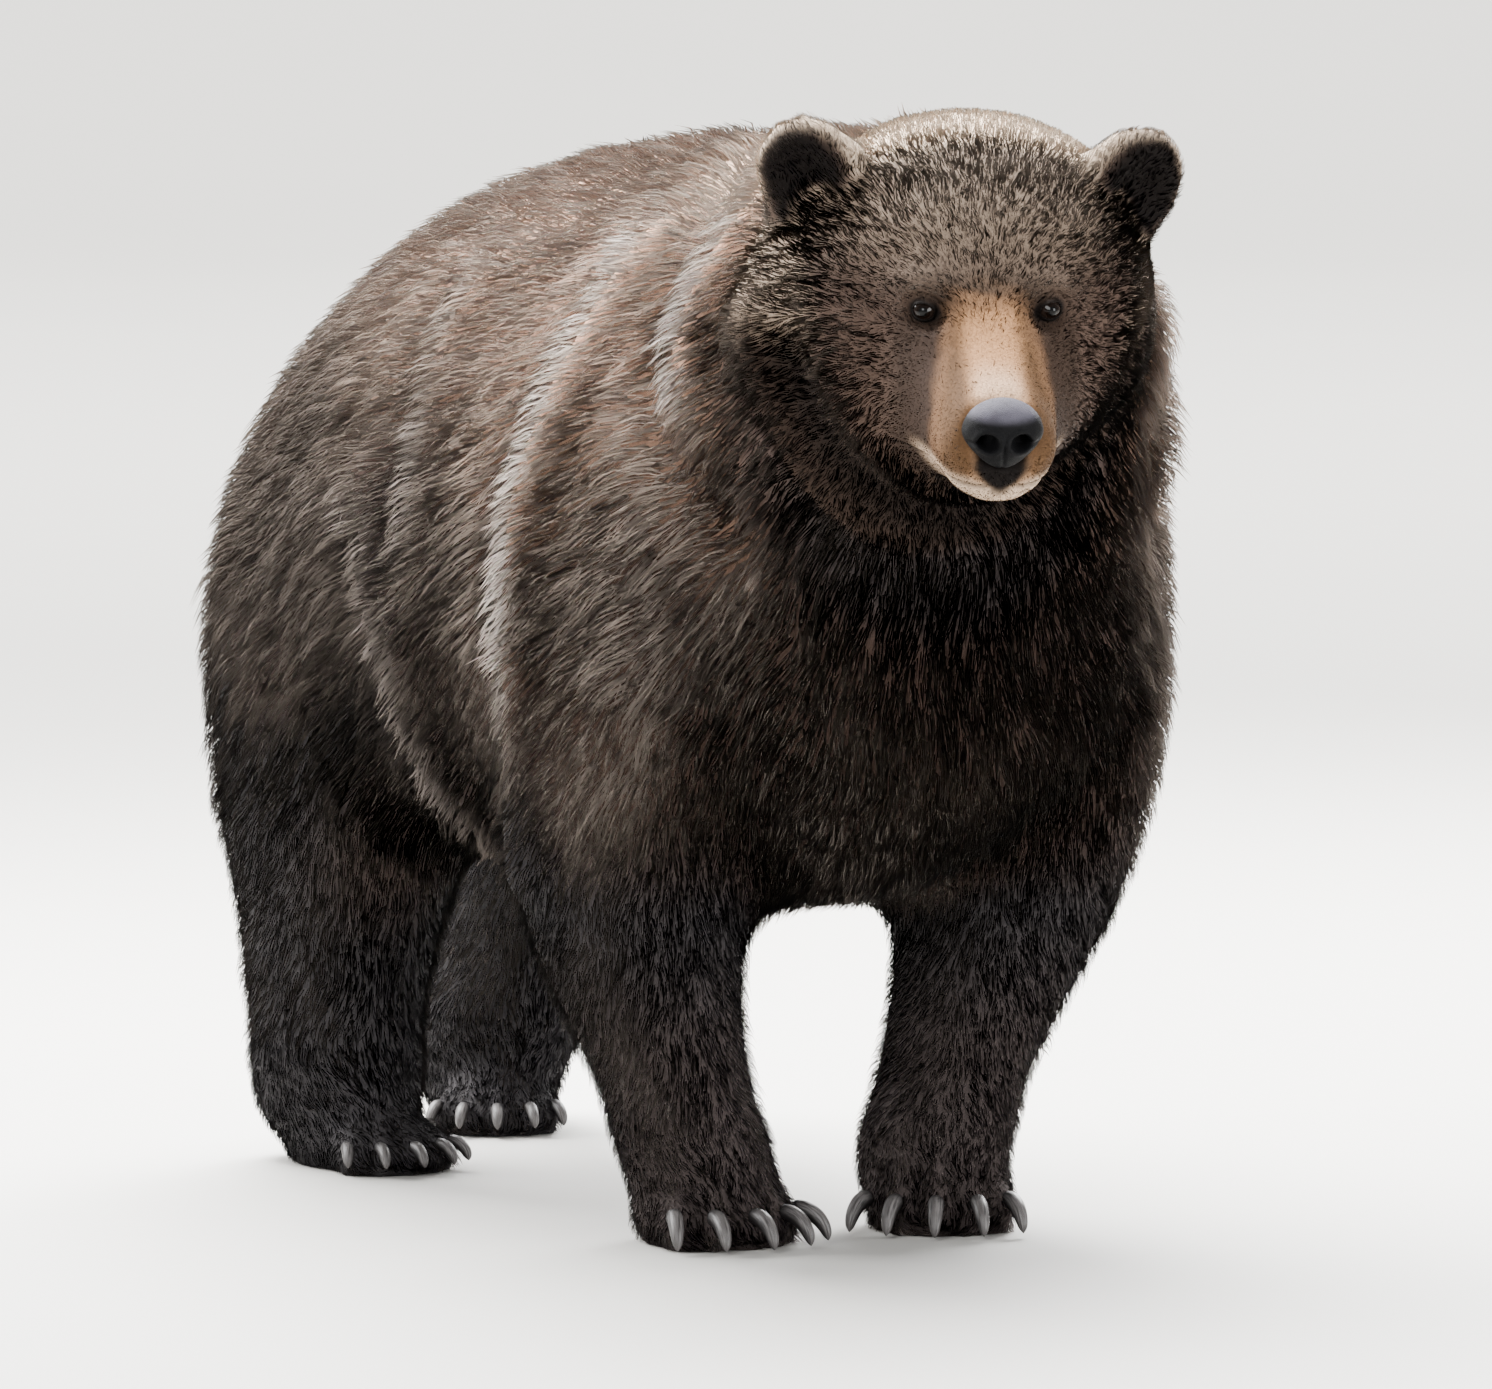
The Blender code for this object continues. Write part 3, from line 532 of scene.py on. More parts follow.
class Places:
    """Soft masks, from 0 to 1, for the regions of the body that differ in shape, coat or colour.

    The two bounds of a smoothstep are where its mask is 0 and where it is 1, in metres.
    """

    def __init__(self, points, normals, part):
        self.points, self.normals, self.height = points, normals, points[:, 2]
        self.head = in_head(points)
        self.ahead = -self.head[:, 1]
        self.beside = np.abs(self.head[:, 0])
        ears = [FLESH.index("ear_left"), FLESH.index("ear_right")]
        self.on_ear = np.isin(part, ears).astype(float)
        self.on_head = np.isin(part, [FLESH.index("head"), FLESH.index("jaw"), *ears]).astype(float)
        self.muzzle = smoothstep(0.150, 0.215, self.ahead) * self.on_head
        self.face = smoothstep(0.02, 0.11, self.ahead) * self.on_head
        self.see_eyes()
        self.see_ears()
        self.see_edge_of_face()
        self.see_mouth()
        self.toe_gap = toe_gaps(points)
        self.folds = [to_fold(points, normals, fold) for fold, *_ in FOLDS]

    def see_eyes(self):
        """The lids, the paler fur round them and the distance to the nearer eye."""
        to_eye = [np.linalg.norm(self.head - eye_axes(s)[0], axis=1) for s in SIDES.values()]
        self.to_eye = np.minimum(*to_eye)
        self.lids = np.zeros(len(self.points))
        self.eyelid_fur = np.zeros(len(self.points))
        for side in SIDES.values():
            depth, opening = opening_of_eye(self.head, side)
            front = smoothstep(-0.03, -0.01, depth) * self.on_head
            self.lids = np.maximum(self.lids, smoothstep(1.75, 1.25, opening) * front)
            self.eyelid_fur = np.maximum(self.eyelid_fur, bell(opening - 2.1, 0.45) * front)

    def see_ears(self):
        """The hollow of each ear, and the pale rim round its upper half."""
        self.ear_bowl, self.ear_rim = np.zeros(len(self.points)), np.zeros(len(self.points))
        for side in SIDES.values():
            to_ear = np.array(ear_frame(side).inverted())
            local = self.head @ to_ear[:3, :3].T + to_ear[:3, 3]
            bowl = np.array([side * EAR_BOWL_AT[0], *EAR_BOWL_AT[1:]])
            reach = np.linalg.norm((local - bowl) / np.array(EAR_BOWL_RADII), axis=1)
            self.ear_bowl = np.maximum(self.ear_bowl, smoothstep(1.30, 1.02, reach) * self.on_ear)
            rim = smoothstep(0.78, 0.94, np.hypot(local[:, 0] / EAR_REACH[0], local[:, 2] / EAR_REACH[1]))
            rim = rim * smoothstep(-0.02, 0.02, local[:, 2]) * self.on_ear * (self.head[:, 0] * side > 0)
            self.ear_rim = np.maximum(self.ear_rim, rim)

    def see_edge_of_face(self):
        """The ruff along the face's edge, the hollow behind it and the shade under it."""
        z = self.head[:, 2]
        to_head = np.array(HEAD.inverted())[:3, :3]
        near, self.inside_face = to_fold(self.head, self.normals @ to_head.T, FACE_EDGE)
        edge = smoothstep(0.13, 0.05, near) * self.on_head * (1 - self.on_ear)
        self.ruff = bell(self.inside_face - 0.012, 0.020) * edge
        self.gorge = smoothstep(0.002, -0.020, self.inside_face) * smoothstep(-0.120, -0.070, self.inside_face)
        self.gorge *= edge * smoothstep(0.010, -0.050, z)
        self.under_face = smoothstep(0.000, -0.018, self.inside_face) * smoothstep(0.25, 0.15, near)
        self.under_face *= smoothstep(0.010, -0.060, z)

    def see_mouth(self):
        """The height over the lips, and the dark front of them under the nose."""
        x, _, z = self.head.T
        self.over_lip = over_lips(self.head)
        narrowing = 1 - 0.45 * smoothstep(-0.065, -0.105, z)
        self.lip_front = smoothstep(1.25, 0.70, np.hypot(x / (0.040 * narrowing), (z + 0.072) / 0.036))
        self.lip_front *= smoothstep(0.255, 0.280, self.ahead) * self.on_head


# ---------------------------------------------------------------- skin
def swollen_flesh():
    """A copy of all the flesh, each shell swollen a little so that it runs into its neighbours."""
    joined = bmesh.new()
    for name in FLESH:
        shell = bmesh.new()
        shell.from_mesh(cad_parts[name].data)
        bmesh.ops.remove_doubles(shell, verts=shell.verts, dist=1e-5)
        shell.normal_update()
        for vertex in shell.verts:
            vertex.co += vertex.normal * SHELL_OVERLAP
        piece = bpy.data.meshes.new("shell")
        shell.to_mesh(piece)
        shell.free()
        joined.from_mesh(piece)
        bpy.data.meshes.remove(piece)
    mesh = bpy.data.meshes.new("skin")
    joined.to_mesh(mesh)
    joined.free()
    return new_object("skin", mesh)


def edges_of(mesh):
    return read(mesh.edges, "vertices", 2, np.int32)


def refine(obj, chosen):
    """Cuts the faces whose corners are all chosen into four."""
    mesh = obj.data
    mesh.polygons.foreach_set("select", np.zeros(len(mesh.polygons), bool))
    mesh.edges.foreach_set("select", np.zeros(len(mesh.edges), bool))
    mesh.vertices.foreach_set("select", chosen)
    choose(obj)
    bpy.ops.object.mode_set(mode="EDIT")
    bpy.ops.mesh.select_mode(type="VERT")
    bpy.ops.mesh.subdivide(number_cuts=1)
    bpy.ops.object.mode_set(mode="OBJECT")


def refine_head(obj):
    """The head gets a finer mesh, the muzzle a finer one again, and the eyes the finest."""
    # from how far ahead, from what height and up to what distance round the eyes the faces are cut
    for ahead_of, above, round_eyes in ((-0.10, -0.24, 0), (0.15, -0.15, 0.06), (None, None, 0.034)):
        head = in_head(read(obj.data.vertices, "co"))
        chosen = np.minimum(*(np.linalg.norm(head - eye_axes(s)[0], axis=1) for s in SIDES.values())) < round_eyes
        if ahead_of is not None:
            inside = np.abs(head[:, 0]) < HEAD_HALF_WIDTH
            chosen |= inside & (-head[:, 1] > ahead_of) & (head[:, 2] > above)
        refine(obj, chosen)
        points = read(obj.data.vertices, "co")
        head = in_head(points)
        close = smoothstep(-0.16, -0.10, -head[:, 1]) * (np.abs(head[:, 0]) < HEAD_HALF_WIDTH)
        put_points(obj.data, spread(points, edges_of(obj.data), 3, close * 0.5))


def fold_relief(places):
    """How far the hide stands out or sinks at its folds: a rolled lip ahead, a furrow behind."""
    relief = 0.004 * places.ruff - 0.026 * places.gorge - 0.008 * places.toe_gap
    relief += 0.004 * places.on_ear + 0.003 * places.on_head * smoothstep(0.08, 0.16, places.head[:, 2])
    chin = 0.005 * places.on_head * smoothstep(0.23, 0.29, places.ahead)
    relief += chin * smoothstep(-0.085, -0.105, places.head[:, 2])
    for (near, ahead), (_, height, *_) in zip(places.folds, FOLDS):
        fade = smoothstep(0.16, 0.09, near) * (1 - places.on_head)
        lip, furrow = (bell(ahead - at, width) for at, width in (FOLD_LIP, FOLD_FURROW))
        relief += fade * height * (lip - 1.1 * furrow)
    return relief


def shape_eyes(head):
    """Lids: an almond opening with a rolled rim close over each eyeball, and the eyeball's pocket behind."""
    for side in SIDES.values():
        centre, outward, upward, forward = eye_axes(side)
        away = head - centre
        depth = away @ forward
        across, above = away @ outward, away @ upward
        radius = np.hypot(across, above)
        opening = np.hypot(across / EYE_OPENING[0], above / EYE_OPENING[1])
        ball = np.sqrt(np.clip(EYE_RADIUS**2 - radius**2, 0, None))
        lid = np.where(radius < EYE_RADIUS, ball, 0.0) + LID_THICKNESS
        overhang = 0.0012 + 0.0010 * smoothstep(0.0, 0.006, above)
        rim = lid + overhang * bell(opening - 1.20, 0.26)
        pocket = -0.004 - 0.004 * (1 - opening)
        wanted = np.where(opening < 0.98, pocket, rim)
        blend = smoothstep(2.7, 1.25, opening) * smoothstep(-0.02, -0.005, depth)
        blend[radius > 0.038] = 0
        fold = 0.0022 * bell(opening - 1.95, 0.22) * smoothstep(0.0, 0.006, above)
        head += forward * (blend * (wanted - depth) - fold * (radius < 0.035))[:, None]
    return head


def shape_mouth(head, normals):
    """A closed mouth: a groove along the lips, with the lower lip tucked under the upper one."""
    over = over_lips(head)
    along = smoothstep(0.150, 0.190, -head[:, 1]) * (np.abs(head[:, 0]) < 0.12)
    tuck = 0.0040 * smoothstep(0.002, -0.006, over) * smoothstep(-0.045, -0.010, over)
    groove = 0.0050 * bell(over, 0.0040) + tuck
    return head - normals * (along * groove)[:, None]


def soles(points, normals):
    """1 on the flat of each foot, 0 elsewhere."""
    return smoothstep(0.030, 0.014, points[:, 2]) * smoothstep(-0.55, -0.85, normals[:, 2])


def smooth_body(mesh):
    """Evens out the joins of the solids, and spares the small parts."""
    points = read(mesh.vertices, "co")
    part = parts_of_body(points)
    edges = edges_of(mesh)
    small = [i for i, n in enumerate(FLESH) if "paw" in n or "ear" in n or n in ("head", "jaw")]
    share = spread(np.where(np.isin(part, small), 0.06, 0.6)[:, None], edges, 4)[:, 0]
    put_points(mesh, spread(points, edges, 34, share))


def build_skin():
    """One closed skin under the whole coat, with lids, lips and flat soles. It keeps the coat's lay and marks."""
    obj = swollen_flesh()
    finish_modifier(obj, "REMESH", mode="VOXEL", voxel_size=SKIN_GRAIN)
    mesh = obj.data
    smooth_body(mesh)
    refine_head(obj)

    points = read(mesh.vertices, "co")
    part = parts_of_body(points)
    places = Places(points, normals_of(mesh), part)
    edges = edges_of(mesh)
    lay = lay_of_coat(places, part, edges)
    for name, values in lay.items():
        keep_values(mesh, name, values)
    ear = spread(places.on_ear[:, None], edges, 8)[:, 0]
    points = points - places.normals * (lay["depth"] - fold_relief(places))[:, None]
    points = spread(points, edges, 3, 0.5 * (1 - places.face))
    sole = soles(places.points, places.normals)
    points[:, 2] += sole * (SOLE_HEIGHT - points[:, 2])
    points[:, 2] = np.maximum(points[:, 2], SOLE_HEIGHT)
    put_points(mesh, points)

    head = in_head(points)
    head[:, 2] += np.where(head[:, 0] < 0, EAR_RISE["right"], EAR_RISE["left"]) * ear
    head[:, 0] *= 1 - 0.08 * smoothstep(0.17, 0.25, -head[:, 1]) * places.on_head
    head = shape_eyes(head)
    normals = normals_of(mesh) @ np.array(HEAD)[:3, :3]
    head = shape_mouth(head, normals)
    put_points(mesh, out_of_head(head))
    keep_values(mesh, "part", part.astype(float))
    choose(obj)
    bpy.ops.object.shade_smooth()
    return obj


# ---------------------------------------------------------------- the lay and the markings of the coat
def combed(places, part):
    """The way the hair points: down the body and legs, out from the nose and the forehead on the head."""
    flow = unit(table_at(COMB, part))
    turned = flow.copy()
    for (kind, side), (_, _, turn) in PAWS.items():
        chosen = part == FLESH.index(f"{kind}paw_{side}")
        angle = -SIDES[side] * turn
        turned[chosen] = flow[chosen] @ np.array(Matrix.Rotation(angle, 3, "Z")).T
    from_nose = unit(places.head - np.array(NOSE_AT))
    from_stop = unit(places.head - np.array(STOP_AT))
    upper = smoothstep(-0.05, 0.05, places.head[:, 2])[:, None]
    crown = upper * from_stop + (1 - upper) * unit(from_nose + np.array([0, 0.1, -0.55]))
    radiating = unit(from_nose * places.muzzle[:, None] + crown * (1 - places.muzzle[:, None]))
    for side in SIDES.values():
        base = np.array([side * (EAR_AT[0] - 0.03), EAR_AT[1], EAR_AT[2] - 0.07])
        on_this = (places.on_ear > 0) & (places.head[:, 0] * side > 0)
        radiating[on_this] = unit(places.head[on_this] - base)
    rotation = np.array(HEAD)[:3, :3]
    return np.where(places.on_head[:, None] > 0, radiating @ rotation.T, turned)


def lay_of_coat(places, part, edges):
    """At each vertex of the skin: the coat's depth, length, width and spacing, and the way it lies."""
    sizes = table_at(COAT, part) / 1000
    head = places.on_head * (1 - places.on_ear)
    amounts = {
        "face": head * places.face,
        "eye": head * bell(places.to_eye, 0.050),
        "poll": head * smoothstep(0.00, -0.08, places.ahead) * smoothstep(0.08, 0.14, places.head[:, 2]),
        "muzzle": places.muzzle,
        "ruff": places.ruff,
        "ear_bowl": places.ear_bowl,
    }
    for place, values in COAT_PLACES.items():
        sizes += amounts[place][:, None] * (np.array(values) / 1000 - sizes)
    sizes = spread(sizes, edges, 14)

    flow = spread(combed(places, part), edges, 10)
    flow -= places.normals * (flow * places.normals).sum(1, keepdims=True)
    marks = spread(markings(places), edges, 2)
    return {
        "depth": sizes[:, 0],
        "length": sizes[:, 1],
        "width": sizes[:, 2],
        "guard_space": sizes[:, 3],
        "under_space": sizes[:, 4],
        "lie": unit(flow),
        "marks_body": marks[:, :3],
        "marks_face": marks[:, 3:6],
        "marks_more": marks[:, 6:9],
    }


def body_markings(places):
    """Warm back, leg brown and pale tips on the trunk, neck and legs, with painted light, shade and highlights
    among them.
    """
    height, along = places.height, places.points[:, 1]
    body = 1 - places.on_head
    up = places.normals[:, 2]
    wander = 0.05 * ripple(places.points, 0.35, 3)
    high = height + wander

    # warm over the back, lower towards the shoulders, and a little more where the surface faces up: partly the
    # back's own colour, partly painted light from above
    above = height + 0.12 * up + wander - 0.10 * smoothstep(-0.20, 0.15, along)
    warm = body * smoothstep(0.78, 1.20, above) * smoothstep(1.0, 0.1, along)

    # dark legs, higher up behind, less so low on the front legs; lighter where the belly faces down, which is
    # painted light standing in for light that hardly reaches there
    hind = smoothstep(0.08, 0.20, along)
    leg = body * smoothstep(0.62 + 0.13 * hind, 0.42 + 0.13 * hind, high)
    leg *= 1 - 0.75 * smoothstep(-0.35, -0.85, up) * smoothstep(0.25, 0.40, height)
    leg *= 1 - 0.22 * smoothstep(0.42, 0.20, height) * smoothstep(0.3, -0.1, along)

    # painted shade: a dark wedge behind the belly's fold and the shade under the face; and a darker chest and flank
    near, ahead = places.folds[-1]
    wedge = bell(ahead + 0.060, 0.055) * smoothstep(0.22, 0.10, near) * smoothstep(0.80, 0.62, height)
    leg = np.maximum(leg, np.maximum(body * wedge, 0.85 * places.under_face))
    chest = smoothstep(-0.28, -0.50, along + 0.25 * np.abs(places.points[:, 0]))
    leg = np.maximum(leg, 0.15 * body * chest * smoothstep(1.16, 0.98, high))
    flank = body * smoothstep(-0.25, 0.05, along) * smoothstep(1.15, 0.95, height)
    leg = np.maximum(leg, 0.55 * flank)

    # pale tips: a few everywhere, more on the lower front legs, and more along the top of the back where the
    # surface faces up, partly the back's own pale hair and partly painted light from above
    frost_and_light = body * (0.07 + 0.08 * smoothstep(0.5, 0.9, height)) * (0.35 + 0.65 * smoothstep(-0.30, 0.05, along))
    frost_and_light *= 1 - 0.7 * leg
    frost_and_light = np.maximum(frost_and_light, 0.5 * body * smoothstep(0.30, 0.85, up) * smoothstep(0.85, 1.10, height))
    frost_and_light = np.maximum(frost_and_light, 0.70 * body * smoothstep(0.42, 0.20, height) * smoothstep(0.3, -0.1, along))

    # painted highlight: pale tips along the lip of each fold, and a little on the ruff, where light would catch
    # them
    painted_highlight = 0.25 * places.ruff * smoothstep(-0.16, -0.06, places.head[:, 2])
    for (near, ahead), (_, _, strength, width, lowest) in zip(places.folds, FOLDS):
        lit = body * strength * bell(ahead - HIGHLIGHT_AHEAD, width) * smoothstep(0.12, 0.07, near)
        painted_highlight = np.maximum(painted_highlight, lit * smoothstep(lowest - 0.04, lowest + 0.08, height))

    # the pale nape: partly its own colour, partly painted light from behind
    nape = smoothstep(1.19, 1.30, height) * smoothstep(0.0, -0.40, along)
    return warm, leg, frost_and_light, painted_highlight, body * 0.45 * nape


def tan_of_muzzle(places):
    """The tan muzzle, its browner sides, partly painted shade, the pale chin, and a painted highlight down the
    middle of its front.
    """
    z = places.head[:, 2]
    edge = 0.168 + np.clip(0.058 - z, 0, 0.095) * 0.95 + 0.004 * ripple(places.points, 0.03, 21)
    tan = places.on_head * smoothstep(edge - 0.024, edge + 0.020, places.ahead)
    half = 0.050 + 0.35 * np.clip(0.045 - z, 0, 0.08)
    tan *= smoothstep(half + 0.012, half - 0.010, places.beside)
    # the browner sides: partly the muzzle's own colour, partly painted shade where they turn away from the light
    # above
    side = tan * smoothstep(0.020, 0.048, places.beside) * smoothstep(-0.105, -0.085, z)
    chin = places.on_head * smoothstep(-0.078, -0.100, z) * smoothstep(0.19, 0.24, places.ahead)
    # painted highlight: the middle of the muzzle's front near the nose, made pale as if lit, carried with the chin
    bridge = 0.5 * tan * smoothstep(0.23, 0.30, places.ahead) * smoothstep(0.042, 0.018, places.beside)
    return tan, side, np.maximum(chin, bridge)


def dark_of_head(places):
    """The ears' hollows, the lids and their inner corners and the lips; and painted shade in the throat's fold
    behind the face's edge and in the toes' creases.
    """
    corner = bell(places.beside - 0.048, 0.013) * bell(places.head[:, 2] - 0.066, 0.016)
    corner = corner * smoothstep(0.11, 0.14, places.ahead)
    lips = bell(places.over_lip, 0.004) * smoothstep(0.20, 0.26, places.ahead) * places.on_head
    dark = np.maximum(places.ear_bowl, places.lids)
    dark = np.maximum(dark, 0.55 * corner * places.on_head)
    dark = np.maximum(dark, np.maximum(0.7 * lips, places.lip_front))
    # painted shade: the throat's fold behind the face's edge and the creases between the toes
    return np.maximum(dark, np.maximum(0.75 * places.gorge, 0.8 * places.toe_gap))


def markings(places):
    """Where each colour of the coat shows, painted light and shade among them. Skin and coat both carry these."""
    z = places.head[:, 2]
    skull = places.on_head - places.on_ear
    warm, leg, frost_and_light, painted_highlight, crown = body_markings(places)
    tan, side, chin = tan_of_muzzle(places)

    # pale: the poll and less of its back, the top of the forehead, the outer cheek and the ears' rims; the poll's
    # pallor is partly its own colour and partly painted light from behind
    poll = skull * smoothstep(0.00, -0.08, places.ahead) * smoothstep(0.10, 0.15, z)
    crown = np.maximum(crown, poll * (1 - 0.65 * smoothstep(-0.11, -0.19, places.ahead)))
    crown = np.maximum(crown, 0.12 * skull * smoothstep(0.05, 0.15, z))
    outer = skull * smoothstep(0.030, -0.005, places.inside_face)
    outer *= smoothstep(0.15, 0.08, np.abs(places.ahead + 0.02))
    outer *= smoothstep(-0.060, 0.020, z) * smoothstep(0.13, 0.09, z)
    crown = np.maximum(crown, 0.22 * outer)
    crown = np.maximum(crown, 0.55 * places.ear_rim)

    # darker: the forehead, the ears' backs, beside the muzzle and the brows
    forehead = places.on_head * smoothstep(0.02, 0.07, z) * smoothstep(0.215, 0.180, z) * (1 - places.on_ear)
    leg = np.maximum(leg, np.maximum(0.50 * forehead * (1 - poll), 0.24 * places.on_ear))
    shorn = places.on_head * smoothstep(0.11, 0.16, places.ahead) * smoothstep(0.120, 0.100, places.beside)
    brow = places.on_head * bell(places.to_eye, 0.068) * smoothstep(0.045, 0.065, z)
    leg = np.maximum(leg, np.maximum(0.95 * shorn, 0.90 * brow) * (1 - tan))

    # pale tips on the head, fewer round the eyes, and on the rims of the ears
    tipped = np.maximum(0.44 + 0.30 * poll, 0.75 * places.ruff)
    frost_and_light = np.maximum(frost_and_light, places.on_head * (1 - places.muzzle) * tipped) * (1 - 0.85 * places.under_face)
    frost_and_light = np.where(places.on_ear > 0, 0.12 * (1 - places.ear_bowl) + 0.95 * places.ear_rim, frost_and_light)
    # the painted highlights along the folds join the pale tips
    frost_and_light = np.maximum(frost_and_light * (1 - 0.6 * places.eyelid_fur), painted_highlight)

    dark = dark_of_head(places)
    return np.stack([np.maximum(warm, side), leg, frost_and_light, crown, tan, chin, dark, places.on_head, painted_highlight], axis=1)


# ---------------------------------------------------------------- coat
def triangles_of(mesh):
    mesh.calc_loop_triangles()
    return read(mesh.loop_triangles, "vertices", 3, np.int32)


def unwrapped(mesh, triangles):
    """A flat pattern of part of the skin: each triangle's three corners in the UV square."""
    used, local = np.unique(triangles, return_inverse=True)
    flat = bpy.data.meshes.new("pattern")
    points = read(mesh.vertices, "co")[used]
    flat.from_pydata(points.tolist(), [], local.reshape(-1, 3).tolist())
    obj = new_object("pattern", flat)
    choose(obj)
    bpy.ops.object.mode_set(mode="EDIT")
    bpy.ops.mesh.select_all(action="SELECT")
    bpy.ops.uv.smart_project(angle_limit=math.radians(66), island_margin=0.004)
    bpy.ops.object.mode_set(mode="OBJECT")
    corners = read(flat.uv_layers.active.uv, "vector", 2).reshape(-1, 3, 2)
    bpy.data.meshes.remove(flat)
    return corners


def split_evenly(triangles, kinds, amount, points, most):
    """Parts the skin's triangles into the coat's pieces, none with more tufts than the most given."""
    pieces = []
    for name, (parts, slot) in COAT_PIECES.items():
        mine = np.flatnonzero(np.isin(kinds, parts))
        middle = points[triangles[mine]].mean(1)
        order = mine[np.argsort(middle[:, 1], kind="stable")]
        total = np.cumsum(amount[order])
        number = max(1, math.ceil(total[-1] / most))
        shares = np.minimum((total / total[-1] * number).astype(int), number - 1)
        for k in range(number):
            label = f"{name}_{k + 1}" if number > 1 else name
            pieces.append((label, slot, order[shares == k]))
    return pieces


def roots_on(triangles, amount, draw):
    """Evenly strewn points: the triangle each lies on, and its three weights there."""
    total = np.cumsum(amount)
    count = int(total[-1])
    steps = (np.arange(count) + draw.random(count)) * total[-1] / count
    face = np.minimum(np.searchsorted(total, steps), len(triangles) - 1)
    a, b = ((0.5 + step * np.arange(count)) % 1.0 for step in STREW)
    over = a + b > 1
    a[over], b[over] = 1 - a[over], 1 - b[over]
    return face, np.stack([a, b, 1 - a - b], axis=1)


def tuft_pattern(rings):
    """One tuft's faces, and the place of each face corner in its UV patch. The faces are wound inwards."""
    loops, sizes, uv = [], [], []
    levels = (*rings, 1.0)
    for level in range(len(rings)):
        low, high = levels[level], levels[level + 1]
        for k in range(3):
            a, b = level * 3 + k, level * 3 + (k + 1) % 3
            if level + 1 < len(rings):
                loops += (a, b, b + 3, a + 3)
                uv += [(k / 3, low), ((k + 1) / 3, low), ((k + 1) / 3, high), (k / 3, high)]
                sizes.append(4)
            else:
                loops += (a, b, 3 * len(rings))
                uv += [(k / 3, low), ((k + 1) / 3, low), ((k + 0.5) / 3, high)]
                sizes.append(3)
    loops += (2, 1, 0)
    sizes.append(3)
    uv += [(1, 0), (0.5, 0), (0, 0)]
    return np.array(loops), np.array(sizes), (np.array(uv) - 0.5) * PATCH


def coat_mesh(name, rings, centres, widths, softness, frames, uv_root, values):
    """Joined mesh of closed three-sided tufts, shaded partly like the body under them.

    centres are each ring's and the tip's, frames each tuft's side, its rise and the body's normal.
    """
    count = len(uv_root)
    across, rise, normal = frames
    corner_count = 3 * len(rings) + 1
    corners = np.empty((count, corner_count, 3))
    shading = np.empty((count, corner_count, 3))
    for level, centre in enumerate(centres[:-1]):
        half = (widths * (ROOT_SHARE if level == 0 and len(rings) > 1 else 0.5))[:, None]
        for k, (out, up) in enumerate(TUFT_SECTION):
            corners[:, level * 3 + k] = centre + (across * out + rise * up) * half
            shading[:, level * 3 + k] = across * out * 0.8 + rise * (up + 0.25)
    corners[:, -1] = centres[-1]
    shading[:, -1] = rise
    softness = softness[:, None, None]
    shading = unit(shading) * (1 - softness) + normal[:, None, :] * softness
    loops, sizes, patch = tuft_pattern(rings)
    mesh = bpy.data.meshes.new(name)
    mesh.vertices.add(count * corner_count)
    mesh.vertices.foreach_set("co", corners.astype(np.float32).ravel())
    mesh.loops.add(count * len(loops))
    all_loops = loops[None, :] + np.arange(count)[:, None] * corner_count
    mesh.loops.foreach_set("vertex_index", all_loops.ravel().astype(np.int32))
    mesh.polygons.add(count * len(sizes))
    starts = np.cumsum([0, *sizes[:-1]])[None, :] + np.arange(count)[:, None] * len(loops)
    mesh.polygons.foreach_set("loop_start", starts.ravel().astype(np.int32))
    mesh.update(calc_edges=True)
    mesh.polygons.foreach_set("use_smooth", np.ones(count * len(sizes), bool))
    layer = mesh.uv_layers.new(name="OFBake")
    uv = uv_root[:, None, :] + patch[None, :, :]
    layer.uv.foreach_set("vector", uv.astype(np.float32).ravel())
    levels = np.repeat((*rings, 1.0), (*(3 for _ in rings), 1))
    keep_values(mesh, "along", np.tile(levels, count))
    for key, value in values.items():
        keep_values(mesh, key, np.repeat(value, corner_count, axis=0))
    mesh.normals_split_custom_set_from_vertices(unit(shading).reshape(-1, 3).astype(np.float32))
    return mesh


def locks_of(root, every, draw):
    """Groups each tuft with the nearest of some chosen ones: the chosen tufts, and each tuft's lock."""
    count = len(root)
    leaders = np.arange(0, count, every)
    leaders = np.minimum(leaders + draw.integers(0, every, len(leaders)), count - 1)
    tree = KDTree(len(leaders))
    for k, leader in enumerate(leaders):
        tree.insert(Vector(root[leader]), k)
    tree.balance()
    return leaders, np.array([tree.find(Vector(p))[1] for p in root])


